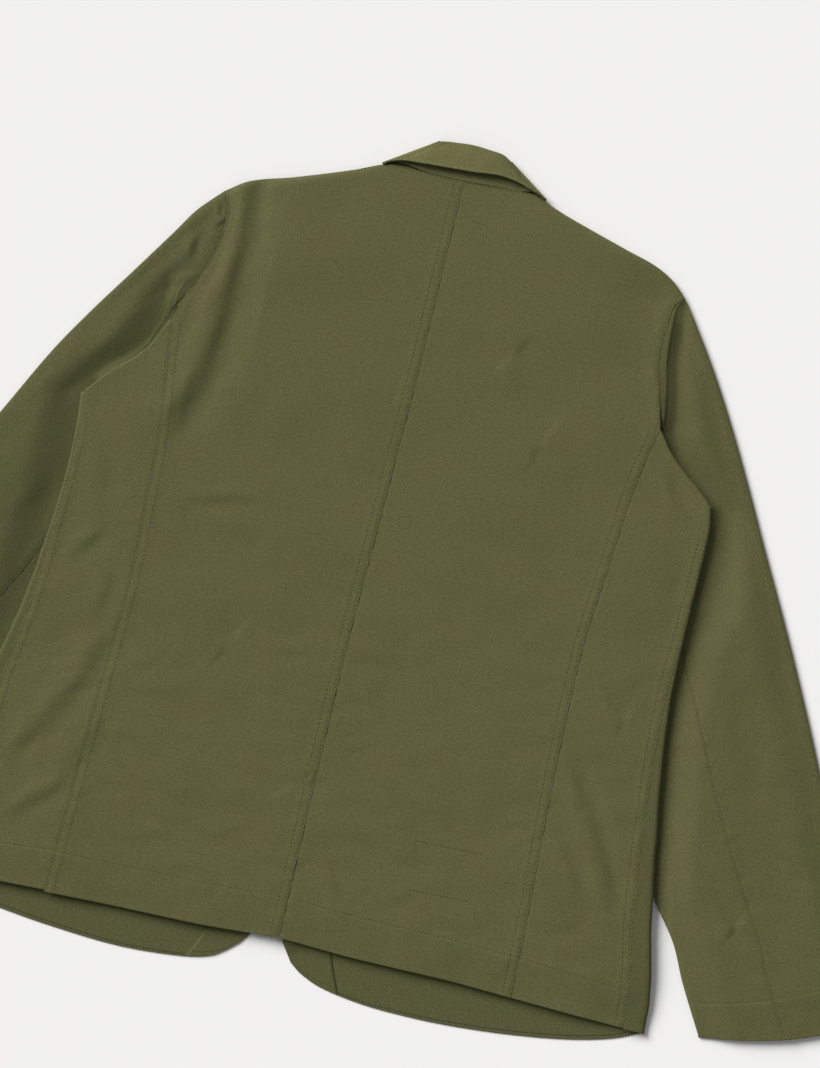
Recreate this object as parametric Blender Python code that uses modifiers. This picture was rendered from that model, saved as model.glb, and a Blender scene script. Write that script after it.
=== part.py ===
"""Baker jacket of olive cotton twill, unlined, lying face down on a flat surface.

Lengths are in millimetres until place() turns them into metres. Across is measured
from the middle of the back, positive towards the wearer's right sleeve. Down is
measured from the back neck seam towards the hem. Height is measured from the surface
that the jacket lies on. Each cloth panel is an open sheet laid through its seam
curves, given its wall by a Solidify modifier that grows into the jacket.
"""

import math

import bmesh
import bpy
from mathutils import Vector

MM = 0.001
NECK_TO_ORIGIN = 354.2      # the origin is under the middle of the laid-out jacket

# Cloth and clearances.
WALL = 1.2                  # one layer of twill
HEM_WALL = 2.2              # where the hem is turned up
COLLAR_WALL = 2.2           # collar and lapel are two layers
SEAM_GAP = 0.3              # between pieces that are sewn to each other
FOLD_SEAM_GAP = 1.2         # the same on the tight side fold, where both walls turn
LAYER_GAP = 0.5             # between cloth layers that lie on each other

# Body.
BACK_LENGTH = 700.0         # neck seam to hem along the centre seam
CENTRE_AT_UNDERARM = 170.0  # centre seam length beside the head of the side-back seam
HEM_DEPTH = 36.0            # turned-up hem of body and cuffs
FOLD_HEIGHT = 4.6           # thickness of the closed side fold, outside to outside
SHOULDER_FOLD = 7.0         # how far from the shoulder fold the cloth rounds off
SHOULDER_MIDDLE = 3.6       # height of the shoulder fold's outermost line
SHOULDER_PARTING = 0.95     # each edge's distance from that line

# Sleeves.
SLEEVE_UNDER_BODY = 5.8     # thickness of the sleeve where the body lies on it
SLEEVE_CROWN = 2.0          # extra height where it lies free
SLEEVE_EDGE = 4.5           # rounding of its long edges
STRIP_STEP = 12.0           # run of the slope where the strip beside the armhole folds down
LIFT_OVER_SLEEVE = 6.6      # underside of the fronts where they lie on the sleeve
LIFT_RAMP = 42.0            # run-up beside the sleeve
LIFT_LEAD = 20.0            # the full lift is reached this far before the sleeve
SLEEVE_WIDTH = 165.0        # flat, at the middle
SLEEVE_SEAM_PARTING = 1.8   # between its pieces where they fold down beside the armhole
CUFF_BOW = (6.0, 7.0)       # how far the cuff's edge is bowed at its seam: out, down
BACK_SEAM_STATION = 7       # the armhole station where the back sleeve seam starts
FRONT_SEAM_SHARE = 0.86     # front sleeve seam, under the sleeve

# Fronts, facings, lapels and buttons, all on the hidden side.
BREAK_DOWN = 240.0          # where the lapels turn
OVERLAP_LIFT = 4.2          # right front where it lies on the left front
OVERLAP_LEAD = 20.0         # held up by the full lift this far past the left front's edge
LAPEL_LEAD = 5.0            # the same for the foot of the right lapel
OVERLAP_RAMP = 34.0
LAPEL_LIFT = 3.0            # fronts where they lie on lapel and collar
LAPEL_RAMP = 30.0
BUTTON_RADIUS = 10.0
BUTTON_HEIGHT = 2.4
BUTTON_EDGE = 0.7
BUTTON_LIFT = 2.8
BUTTON_DOWNS = (262.0, 372.0, 482.0)
BUTTON_ACROSS = -15.0
BUTTON_FLAT = 30.0          # the fronts stay level this far round a button
BUTTON_RAMP = 28.0

FACING_INSET = 1.5
ARMHOLE_BORDER = 4.0        # narrow strip beside the front armhole
LAPEL_GORGE_DOWN = 46.0     # head of the lapel on its roll line
LAPEL_OVER_LEFT = 4.5       # right lapel where its foot lies on the left front

OLIVE = (0.118, 0.112, 0.045)
OLIVE_SLEEVE = (0.102, 0.099, 0.043)
BUTTON_BROWN = (0.060, 0.045, 0.030)

# Height of the back's outer surface along its middle: down, height.
BACK_HEIGHT = [(0, 7.0), (40, 9.4), (110, 11.4), (540, 11.8), (640, 11.2), (700, 10.2)]
# Height of the outer surface beside the armhole: down, height.
ARMHOLE_HEIGHT = [(56, 5.6), (80, 8.4), (120, 9.8), (176, 10.8), (232, 11.2)]
# Height of the sleeve's top layer along its sewn end: down, height.
SLEEVE_END_HEIGHT = [(56, 5.4), (80, 7.8), (120, 9.0), (152, 9.2), (166, 8.0), (176, 5.8), (250, 5.8)]

# Neck seam and shoulder folds: across, down.
TOP_LINE = [
    (-207, 58), (-187, 44), (-148, 31), (-97, 12), (-74, 2), (-62, -0.5), (-34, 0), (0, 0),
    (35, -2), (66, -3), (78, 1.5), (96, 8), (156, 25.5), (186, 34), (205, 44), (218, 56),
]
# Back hem: across, down.
HEM_LINE = [
    (-340, 711), (-260, 709), (-168, 706), (-76, 704), (-4, 700), (62, 702),
    (154, 702), (211, 704), (285, 705), (336, 708),
]
# Centre back seam: down, across.
CENTRE_SEAM = [(0, 1), (170, 0.5), (345, -3), (440, -5), (700, -4)]

# Outlines of each side. All columns are down, across, but for the front's lower edge,
# which is across, down, and the two widths, which are down, width. The back sleeve seam is
# the way along the sleeve and how far, as a share of the width, it has moved inwards since
# the armhole.
SIDES = {
    "left": {
        "sign": -1,
        "shoulder": 58.0,
        "junction": 180.0,
        "underarm": 263.0,
        "armhole": [
            (58, 207), (66, 202), (83, 199.5), (111, 202), (141, 211.5), (158, 219),
            (180, 226), (195, 228), (215, 224), (235, 215), (250, 206),
        ],
        "panel_top": [(180, 226), (209, 239), (236, 266), (263, 290)],
        "back_seam": [(180, 226), (217, 222), (281, 214), (345, 211), (414, 209), (524, 213), (706, 219)],
        "fold": [(263, 290), (300, 287), (345, 287), (405, 291.5), (465, 299), (530, 312), (600, 323), (665, 333), (711, 340)],
        "strip": [(58, 0.8), (118, 0.8), (135, 5), (148, 8), (165, 5), (180, 1.0), (250, 0.4)],
        "sleeve_outer": [
            (58, 207), (80, 227), (102, 241), (145, 269), (189, 298), (232, 324),
            (295, 356), (358, 389), (441, 430), (550, 481), (652, 530),
        ],
        "sleeve_inner": [(250, 206), (290, 210), (340, 222), (430, 248), (530, 284), (590, 318), (623, 341), (655, 358), (699, 383)],
        "sleeve_seam": [(0.0, 0.0), (0.1, 0.03), (0.2, 0.14), (0.3, 0.25), (0.42, 0.284), (0.54, 0.248), (0.8, 0.185), (1.0, 0.15)],
        "front_edge": [(3, 69), (43, 55), (240, -4), (330, -5), (560, -3), (630, 4), (670, 14), (698.5, 27.6), (712, 37.3)],
        "front_hem": [(37.3, 712), (48.7, 722), (61, 730), (87, 736), (142, 740), (198, 737.5), (260, 731), (300, 723), (340, 711)],
        "lapel_edge": [(104, 112), (125, 100), (150, 84), (200, 42), (240, 4)],
        "button_lap": True,
    },
    "right": {
        "sign": 1,
        "shoulder": 56.0,
        "junction": 176.0,
        "underarm": 232.0,
        "armhole": [
            (56, 218), (65, 211), (83, 208.5), (101, 207.5), (120, 208.5), (140, 214), (158, 219),
            (176, 223.5), (192, 225.5), (215, 221), (235, 213), (250, 205),
        ],
        "panel_top": [(176, 223.5), (183, 228.5), (192, 235), (207, 252), (232, 284)],
        "back_seam": [(176, 223.5), (228, 214), (320, 206), (380, 201.5), (467, 202), (547, 205), (620, 208.5), (704, 211)],
        "fold": [(232, 284), (256, 288), (345, 288), (408, 289), (450, 293), (538, 306), (605, 318), (665, 331), (708, 336)],
        "strip": [(56, 1.0), (80, 4), (100, 6), (125, 7.5), (150, 5.5), (166, 4), (176, 1.0), (250, 0.4)],
        "sleeve_outer": [
            (56, 218), (65, 225), (113, 258), (161, 287), (210, 314), (260, 340.5),
            (309, 367), (358, 392.6), (441, 433.5), (550, 483), (652, 530),
        ],
        "sleeve_inner": [(250, 205), (290, 209), (340, 221), (430, 248), (530, 284), (590, 318), (623, 342), (655, 358), (700, 384)],
        "sleeve_seam": [(0.0, 0.0), (0.1, 0.03), (0.2, 0.12), (0.3, 0.2), (0.363, 0.213), (0.493, 0.17), (0.642, 0.139), (0.79, 0.117), (1.0, 0.09)],
        "front_edge": [(3, 71), (43, 52), (240, -34), (330, -35), (560, -30), (630, -22), (672, -12), (699, -2), (719, 11)],
        "front_hem": [(11, 719), (21.6, 726.6), (42, 734.7), (81, 740.8), (123, 742.4), (164, 741.4), (218, 736.8), (272, 728.7), (310, 719), (336, 708)],
        "lapel_edge": [(104, 110), (125, 98), (150, 81), (200, 28), (240, -27)],
        "button_lap": False,
    },
}
# Lapel and collar turned under the chest: down, width beyond the roll line.
TURNED_WIDTH = [(0, 16), (20, 28), (46, 62), (73, 88), (104, 94), (125, 88), (150, 78), (200, 48), (240, 14)]
# Side-front seam, measured round the fold from its outermost line: share of the way
# from the underarm to the hem, distance.
WRAP = [(0.0, 1.3), (0.25, 2.5), (0.38, 6.5), (0.5, 10.0), (0.65, 15.0), (0.85, 20.0), (1.0, 21.0)]

# Collar bands. fold and edge: across, down, for the back of the neck. crease: the two
# ends of the line where the band turns under, at the fold and at the edge. end: the
# same for its front ends. radius: of the crease at fold and edge. rise: how much higher
# the middle stands at the fold, further at the edge, and between them.
COLLAR_LEAF = {
    "fold": [(-29, -30.8), (-15, -32.3), (1, -33.7), (18, -32.8), (30, -31.4), (39, -27.2)],
    "edge": [(-72, -1.6), (-58, -5.2), (-42, -6.5), (-22, -7.8), (7, -9.6), (31, -12), (48, -10), (62, -6), (76, -2)],
    "crease": {"left": ((-29, -30.8), (-73, -3.2)), "right": ((39, -27.2), (77, -3.4))},
    "end": {"left": ((-53.5, 42), (-117, 73)), "right": ((50.5, 42), (115, 73))},
    "end_bow": 12.0,
    "bottom": 0.0,
    "radius": (3.9, 4.8),
    "rise": (0.5, 2.9, 1.2),
}
COLLAR_STAND = {
    "fold": [(-26, -27.5), (-15, -29.3), (1, -30.7), (18, -29.8), (30, -27.4), (35, -24)],
    "edge": [(-67, -2.2), (-51, -3.2), (-34, -1.0), (-17, -0.6), (0, -0.8), (35, -3.2), (70, -4.0)],
    "crease": {"left": ((-27, -26.5), (-65.5, -3.2)), "right": ((36, -23.5), (68, -4.8))},
    "end": {"left": ((-48, 34), (-53.5, 33)), "right": ((44, 34), (51, 33))},
    "end_bow": 0.0,
    "bottom": 2.4,
    "radius": (1.7, 1.7),
    "rise": (0.0, 1.0, 0.0),
}

# Largest folds of the body's outer surface. Columns: name, start across, start down,
# end across, end down, half width, depth (negative is a trough).
FOLDS = [
    ("left_shoulder_trough", -186, 62, -190, 262, 20, -2.4),
    ("left_shoulder_ridge", -152, 70, -160, 280, 26, 1.2),
    ("left_panel_diagonal", -238, 470, -296, 610, 15, -2.6),
    ("left_panel_upper", -222, 395, -268, 430, 12, -1.4),
    ("right_shadow", 76, 128, 128, 196, 24, -1.6),
    ("right_panel_long", 226, 505, 290, 650, 14, -2.4),
    ("right_panel_short", 232, 440, 276, 492, 12, -1.4),
    ("back_left_arc", -182, 340, -92, 352, 14, -1.3),
    ("back_right_lower", 56, 560, 112, 596, 18, -1.4),
    ("centre_lower", 16, 440, 76, 470, 18, -1.2),
]


def ease(share):
    """Smooth step from 0 to 1."""
    share = min(max(share, 0.0), 1.0)
    return share * share * (3.0 - 2.0 * share)


def mix(first, second, share):
    return first + (second - first) * share


def read(table, at):
    """Value of a smooth curve through a table's rows, held level past its ends."""
    if at <= table[0][0]:
        return float(table[0][1])
    if at >= table[-1][0]:
        return float(table[-1][1])
    index = 0
    while table[index + 1][0] < at:
        index += 1
    slopes = []
    for point in (index, index + 1):
        before = table[max(point - 1, 0)]
        after = table[min(point + 1, len(table) - 1)]
        slopes.append((after[1] - before[1]) / (after[0] - before[0]))
    low, high = table[index], table[index + 1]
    run = high[0] - low[0]
    t = (at - low[0]) / run
    return (
        (2 * t**3 - 3 * t**2 + 1) * low[1] + (t**3 - 2 * t**2 + t) * run * slopes[0]
        + (3 * t**2 - 2 * t**3) * high[1] + (t**3 - t**2) * run * slopes[1]
    )


def place(across, down, height):
    return Vector((across, NECK_TO_ORIGIN - down, height)) * MM


def round_off(distance, reach):
    """Quarter-round from 0 at an edge to 1 at its reach."""
    share = min(max(distance / reach, 0.0), 1.0)
    return math.sqrt(1.0 - (1.0 - share) ** 2)


def sleeve_side(side, down):
    """Distance from the middle at which the sleeve begins, seen through the body."""
    joint = side["armhole"][-1][0]
    table = side["armhole"] if down < joint else side["sleeve_inner"]
    return read(table, down)


def body_edge(side, down):
    """Outer edge of the body, down its armhole, panel head and side fold."""
    if down < side["junction"]:
        return read(side["armhole"], down)
    if down < side["underarm"]:
        return read(side["panel_top"], down)
    return read(side["fold"], down)


def side_of(across):
    return SIDES["right"] if across > 0 else SIDES["left"]


def lift_over_sleeve(side, out, down):
    """How far the sleeve below holds up the front at a place 'out' from the middle."""
    inside = out - sleeve_side(side, down)
    fade_in = ease((down - side["shoulder"] - 55.0) / 50.0)
    return LIFT_OVER_SLEEVE * ease(1.0 + (inside + LIFT_LEAD) / LIFT_RAMP) * fade_in


def lift_over_lapel(side, out, down):
    """How far lapel and collar, turned under the chest, hold up the front."""
    outside = out - read(side["front_edge"], down) - read(TURNED_WIDTH, down)
    fade_out = ease((BREAK_DOWN + 50.0 - down) / 40.0)
    return LAPEL_LIFT * ease(1.0 - outside / LAPEL_RAMP) * fade_out


def lift_over_buttons(across, down):
    """How far the row of buttons below holds up the left front."""
    beside = abs(across - BUTTON_ACROSS) - BUTTON_FLAT
    beyond = max(BUTTON_DOWNS[0] - down, down - BUTTON_DOWNS[-1]) - BUTTON_FLAT
    return BUTTON_LIFT * ease(1.0 - beside / BUTTON_RAMP) * ease(1.0 - beyond / BUTTON_RAMP)


def front_height(side, out, down):
    """Underside of a front at a place 'out' from the middle on its own side."""
    height = max(lift_over_sleeve(side, out, down), lift_over_lapel(side, out, down))
    across = side["sign"] * out
    height = max(height, lift_over_buttons(across, down))
    return height + OVERLAP_LIFT * lapped(side, out, down, OVERLAP_LEAD)


def lapped(side, out, down, lead):
    """Share to which a place of the right front lies on the left front: 0 to 1."""
    if side["button_lap"]:
        return 0.0
    left_edge = -read(SIDES["left"]["front_edge"], down)
    past = out - left_edge - lead
    return ease(1.0 - past / OVERLAP_RAMP) * ease((down - 140.0) / 40.0)


def folds(across, down):
    """Sum of the large troughs and ridges at a place."""
    total = 0.0
    for _, from_across, from_down, to_across, to_down, half_width, depth in FOLDS:
        run = (to_across - from_across, to_down - from_down)
        length = math.hypot(*run)
        step = (across - from_across, down - from_down)
        along = (step[0] * run[0] + step[1] * run[1]) / length**2
        away = (step[0] * run[1] - step[1] * run[0]) / length
        if -0.2 < along < 1.2:
            ends = ease((along + 0.2) / 0.45) * ease((1.2 - along) / 0.45)
            total += depth * ends * math.exp(-((away / half_width) ** 2))
    return total


def back_height(across, down):
    """Outer surface of back and side panels."""
    side = side_of(across)
    out = abs(across)
    edge = body_edge(side, down) - FOLD_HEIGHT / 2.0
    if down < side["underarm"]:
        edge_height = read(ARMHOLE_HEIGHT, down)
    else:
        edge_height = front_height(side, edge, down) + FOLD_HEIGHT
    share = ease((edge - out) / 70.0)
    height = mix(edge_height, read(BACK_HEIGHT, down), share)
    height += folds(across, down) * ease((edge - out) / 18.0)
    shoulder = ease((out - 62.0) / 24.0)
    rounding = round_off(down - read(TOP_LINE, across), SHOULDER_FOLD)
    edge_top = SHOULDER_MIDDLE + SHOULDER_PARTING
    rounded = edge_top + (height - edge_top) * rounding
    lowest = front_height(side, out, down) + 2.0 * WALL + LAYER_GAP
    return max(mix(height, rounded, shoulder), lowest)


def fold_point(side, down, round_fold):
    """Place on the side fold, by the distance round it from its outermost line.

    Positive distances run over the top towards the back, negative ones underneath.
    """
    radius = FOLD_HEIGHT / 2.0
    edge = read(side["fold"], down)
    turn = math.pi * radius / 2.0
    middle = front_height(side, edge - radius, down) + radius
    if abs(round_fold) <= turn:
        angle = round_fold / radius
        out = edge - radius + radius * math.cos(angle)
        return out, middle + radius * math.sin(angle)
    out = edge - radius - (abs(round_fold) - turn)
    if round_fold > 0:
        return out, back_height(side["sign"] * out, down)
    return out, front_height(side, out, down)


def new_material(name, colour, roughness, metallic=0.0):
    material = bpy.data.materials.new(name)
    material.use_nodes = True
    shader = material.node_tree.nodes["Principled BSDF"]
    shader.inputs["Base Color"].default_value = (*colour, 1.0)
    shader.inputs["Roughness"].default_value = roughness
    shader.inputs["Metallic"].default_value = metallic
    material.diffuse_color = (*colour, 1.0)
    return material


def sheet(name, columns, rows, point, facing, colour, thickness=None):
    """One cloth panel: a grid moved onto its surface, with a wall grown inwards.

    point(column value, row value) gives the place. facing is 1 where the outer surface
    looks up at the first column and row, -1 where it looks down. thickness(column, row)
    is the wall there.
    """
    grid = bmesh.new()
    bmesh.ops.create_grid(grid, x_segments=len(columns) - 1, y_segments=len(rows) - 1, size=1.0)
    first_face = min(grid.faces, key=lambda face: sum(face.calc_center_median()))
    group = grid.verts.layers.deform.verify()
    walls = [thickness(column, row) if thickness else WALL for column in columns for row in rows]
    thickest = max(walls)
    for vert in grid.verts:
        column = columns[round((vert.co.x + 1.0) / 2.0 * (len(columns) - 1))]
        row = rows[round((vert.co.y + 1.0) / 2.0 * (len(rows) - 1))]
        vert[group][0] = (thickness(column, row) if thickness else WALL) / thickest
        vert.co = point(column, row)
    first_face.normal_update()
    if first_face.normal.z * facing < 0:
        bmesh.ops.reverse_faces(grid, faces=grid.faces)
    mesh = bpy.data.meshes.new(name)
    grid.to_mesh(mesh)
    grid.free()
    mesh.shade_smooth()
    panel = bpy.data.objects.new(name, mesh)
    panel.vertex_groups.new(name="wall")
    mesh.materials.append(new_material(name, colour, 0.85))
    wall = panel.modifiers.new("wall", "SOLIDIFY")
    wall.thickness = thickest * MM
    wall.offset = -1.0
    wall.use_even_offset = True
    wall.use_quality_normals = True
    wall.vertex_group = "wall"
    bpy.data.collections["baker_jacket"].objects.link(panel)
    return panel


def spread(start, end, count):
    return [mix(start, end, step / count) for step in range(1, count + 1)]


def arm_stations(side):
    """Levels shared by back, front and sleeve along the armhole seam."""
    top, low = side["shoulder"], side["junction"]
    return [top, top + 2.0, top + 7.0, top + 18.0] + spread(top + 18.0, low, 6)


LOWER_ROWS = [0.0] + spread(0.0, 0.935, 15) + [0.94, 1.0]


def back_rows(side):
    """Row values of a back: 0 to 1 beside the armhole, 1 to 2 beside the side panel."""
    top, low = side["shoulder"], side["junction"]
    upper = [(down - top) / (low - top) for down in arm_stations(side)]
    return upper + [1.0 + share for share in LOWER_ROWS[1:]]


def back_outer(side, row):
    """Outer end of a back row, as out, down."""
    if row <= 1.0:
        down = mix(side["shoulder"], side["junction"], row)
        return read(side["armhole"], down), down
    hem = side["back_seam"][-1][0]
    down = mix(side["junction"], hem, row - 1.0)
    return read(side["back_seam"], down), down


def back_point(side, column, row, seam_gap):
    """Place on a back: column 0 is the centre seam, 1 the outer seams."""
    sign = side["sign"]
    out_end, down_end = back_outer(side, row)
    if row <= 1.0:
        centre_down = CENTRE_AT_UNDERARM * row
    else:
        centre_down = mix(CENTRE_AT_UNDERARM, BACK_LENGTH, row - 1.0)
    centre = read(CENTRE_SEAM, centre_down)
    start = centre + sign * seam_gap / 2.0
    across = mix(start, sign * (out_end - seam_gap / 2.0), column)
    down = mix(centre_down, down_end, column)
    top_end, top_down = back_outer(side, 0.0)
    top_across = mix(read(CENTRE_SEAM, 0.0), sign * top_end, column)
    top_bow = read(TOP_LINE, top_across) - mix(0.0, top_down, column)
    down += top_bow * (1.0 - min(row, 1.0))
    hem_end, hem_down = back_outer(side, 2.0)
    hem_across = mix(read(CENTRE_SEAM, BACK_LENGTH), sign * hem_end, column)
    hem_bow = read(HEM_LINE, hem_across) - mix(BACK_LENGTH, hem_down, column)
    down += hem_bow * max(row - 1.0, 0.0) ** 3
    return across, down


def make_back(name, side):
    columns = [0.0] + spread(0.0, 0.34, 3) + spread(0.34, 1.0, 6)

    def point(column, row):
        across, down = back_point(side, column, row, SEAM_GAP)
        return place(across, down, back_height(across, down))

    def thickness(column, row):
        hem_share = 1.0 - HEM_DEPTH / (BACK_LENGTH - side["junction"])
        return HEM_WALL if row - 1.0 > hem_share + 0.005 else WALL

    return sheet("back_" + name, columns, back_rows(side), point, 1, OLIVE, thickness)


def side_level(side, row):
    """Level of the side fold at a share of the way from underarm to hem."""
    return mix(side["underarm"], side["fold"][-1][0], row)


def make_side(name, side):
    columns = [(0.0, 0.0), (0.26, 0.0), (0.52, 0.0), (0.78, 0.0)]
    columns += [(1.0, inset) for inset in (5.0, 2.8, 1.4, 0.4, 0.0)]
    sign = side["sign"]
    turn = math.pi * FOLD_HEIGHT / 4.0

    def point(place_on_row, row):
        column, inset = place_on_row
        inner_out, inner_down = back_outer(side, 1.0 + row)
        inner_out += SEAM_GAP / 2.0
        level = side_level(side, row)
        edge = read(side["fold"], level) - FOLD_HEIGHT / 2.0
        reach = edge - inner_out + turn
        end = read(WRAP, row) + FOLD_SEAM_GAP / 2.0
        round_fold = mix(reach, end, column) + inset
        out, height = fold_point(side, level, round_fold)
        share = min((out - inner_out) / (edge - inner_out), 1.0)
        down = mix(inner_down, level, share)
        head = head_level(side, out) - mix(side["junction"], side["underarm"], share)
        down += head * (1.0 - row) ** 2 * math.sin(math.pi * share) ** 0.5
        if round_fold > turn:
            height = back_height(sign * out, down)
        return place(sign * out, down, height)

    def thickness(column, row):
        hem_share = 1.0 - HEM_DEPTH / (BACK_LENGTH - side["junction"])
        return HEM_WALL if row > hem_share + 0.005 and column[1] > 0.3 else WALL

    return sheet("side_" + name, columns, LOWER_ROWS, point, 1, OLIVE, thickness)


def head_level(side, out):
    """Level of the side panel's head at a distance from the middle."""
    return read([(row[1], row[0]) for row in side["panel_top"]], out)


FRONT_COLUMNS = [0.0, 0.06, 0.25, 0.45, 0.65, 0.85, 1.0] + spread(1.0, 1.85, 7) + spread(1.85, 2.0, 3)
FACING_COLUMNS = 4          # the front's last columns, which the facing lies on


def front_rows(side):
    """0 to 1 beside the armhole, 1 to 2 beside the panel head, 2 to 3 down the side."""
    top, low = side["shoulder"], side["junction"]
    arm_rows = [(down - top) / (low - top) for down in arm_stations(side)]
    return arm_rows + spread(1.0, 2.0, 4)[:-1] + [2.0 + share for share in LOWER_ROWS]


def front_outer(side, row):
    """Outer end of the flat stretch of a front's row, as out, down."""
    if row <= 1.0:
        down = mix(side["shoulder"], side["junction"], row)
        return read(side["armhole"], down) - SEAM_GAP, down
    if row < 2.0:
        down = mix(side["junction"], side["underarm"], row - 1.0)
        return read(side["panel_top"], down) - SEAM_GAP, down
    level = side_level(side, row - 2.0)
    return fold_point(side, level, -math.pi * FOLD_HEIGHT / 4.0)[0], level


def front_point(side, column, row):
    """Place on a front, as out, down, height.

    Columns 0 to 1 go round the side fold from its seam, 1 to 2 across to the front edge.
    """
    out_end, level = front_outer(side, row)
    if column < 1.0 and row >= 2.0:
        start = read(WRAP, row - 2.0) - FOLD_SEAM_GAP / 2.0
        out, height = fold_point(side, level, mix(start, -math.pi * FOLD_HEIGHT / 4.0, column))
        return out, level, height
    if row < 2.0:
        out_end -= ARMHOLE_BORDER * min(column, 1.0)
    share = max(column - 1.0, 0.0)
    edge_top, edge_end = side["front_edge"][0], side["front_edge"][-1]
    inner_down = mix(edge_top[0], edge_end[0], row / 3.0)
    out = mix(out_end, read(side["front_edge"], inner_down), share)
    down = mix(level, inner_down, share)
    shoulder_out = mix(side["armhole"][0][1], edge_top[1], share)
    bow = read(TOP_LINE, side["sign"] * shoulder_out) - mix(side["shoulder"], edge_top[0], share)
    down += bow * max(1.0 - row, 0.0)
    fold_down, fold_out = side["fold"][-1]
    hem_out = mix(fold_out, edge_end[1], share)
    hem_bow = read(side["front_hem"], hem_out) - mix(fold_down, edge_end[0], share)
    down += hem_bow * max(row - 2.0, 0.0) ** 3
    rounding = round_off(down - read(TOP_LINE, side["sign"] * out), SHOULDER_FOLD)
    edge_height = (SHOULDER_MIDDLE - SHOULDER_PARTING) * (1.0 - rounding)
    return out, down, max(front_height(side, out, down), edge_height)


def make_front(name, side):
    """A front runs from its side seam round the side fold to the front edge."""

    def point(column, row):
        out, down, height = front_point(side, column, row)
        return place(side["sign"] * out, down, height)

    return sheet("front_" + name, FRONT_COLUMNS, front_rows(side), point, -1, OLIVE)


def make_facing(name, side):
    """Strip inside the front edge, from the lapel's break to the hem.

    It is made from the front's own points, moved in from the edges and up off the cloth.
    """
    columns = FRONT_COLUMNS[-FACING_COLUMNS:]
    rows = [row for row in front_rows(side) if row > 3.0 * (BREAK_DOWN + 12.0) / side["front_edge"][-1][0]]

    def point(column, row):
        here = Vector(front_point(side, column, row))
        if column == columns[-1]:
            inner = Vector(front_point(side, columns[-2], row))
            here = here.lerp(inner, FACING_INSET / (here - inner).length)
        if row == rows[-1]:
            above = Vector(front_point(side, column, rows[-2]))
            here = here.lerp(above, FACING_INSET / (here - above).length)
        return place(side["sign"] * here.x, here.y, here.z + WALL + LAYER_GAP + WALL)

    return sheet("facing_" + name, columns, rows, point, 1, OLIVE)


def sleeve_end(side, share):
    """Sewn end of the sleeve, as out, down, by the share from shoulder to underarm."""
    down = mix(side["shoulder"], side["armhole"][-1][0], share)
    return read(side["armhole"], down), down


def sleeve_point(side, across_share, along):
    """Place on a flattened sleeve, as out, down, and its distance to both long edges.

    across_share runs from the outer edge to the inner one, along from the shoulder to
    the cuff.
    """
    outer_down = mix(side["shoulder"], side["sleeve_outer"][-1][0], along)
    inner_down = mix(side["sleeve_inner"][0][0], side["sleeve_inner"][-1][0], along)
    outer = (read(side["sleeve_outer"], outer_down), outer_down)
    inner = (read(side["sleeve_inner"], inner_down), inner_down)
    width = math.dist(outer, inner)
    start, end = sleeve_end(side, 0.0), sleeve_end(side, 1.0)
    sewn = sleeve_end(side, across_share)
    place_on_row = []
    for axis in (0, 1):
        bow = sewn[axis] - mix(start[axis], end[axis], across_share)
        cuff_bow = CUFF_BOW[axis] * math.sin(math.pi * across_share)
        base = mix(outer[axis], inner[axis], across_share)
        place_on_row.append(base + bow * (1.0 - along) + cuff_bow * along**2)
    return place_on_row, across_share * width, (1.0 - across_share) * width


def sleeve_height(side, out, down):
    """Outer surface of a sleeve's top layer, away from its rounded edges."""
    free = ease((out - body_edge(side, down)) / 50.0)
    return SLEEVE_UNDER_BODY + SLEEVE_CROWN * free


def sleeve_stations(side):
    """Shares across the sleeve's end: shared with the body as far as the armhole shows."""
    top, end = side["shoulder"], side["armhole"][-1][0]
    hidden = spread(side["junction"], end - 9.0, 3) + [end - 5.0, end - 1.5, end]
    return [(down - top) / (end - top) for down in arm_stations(side) + hidden]


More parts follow.
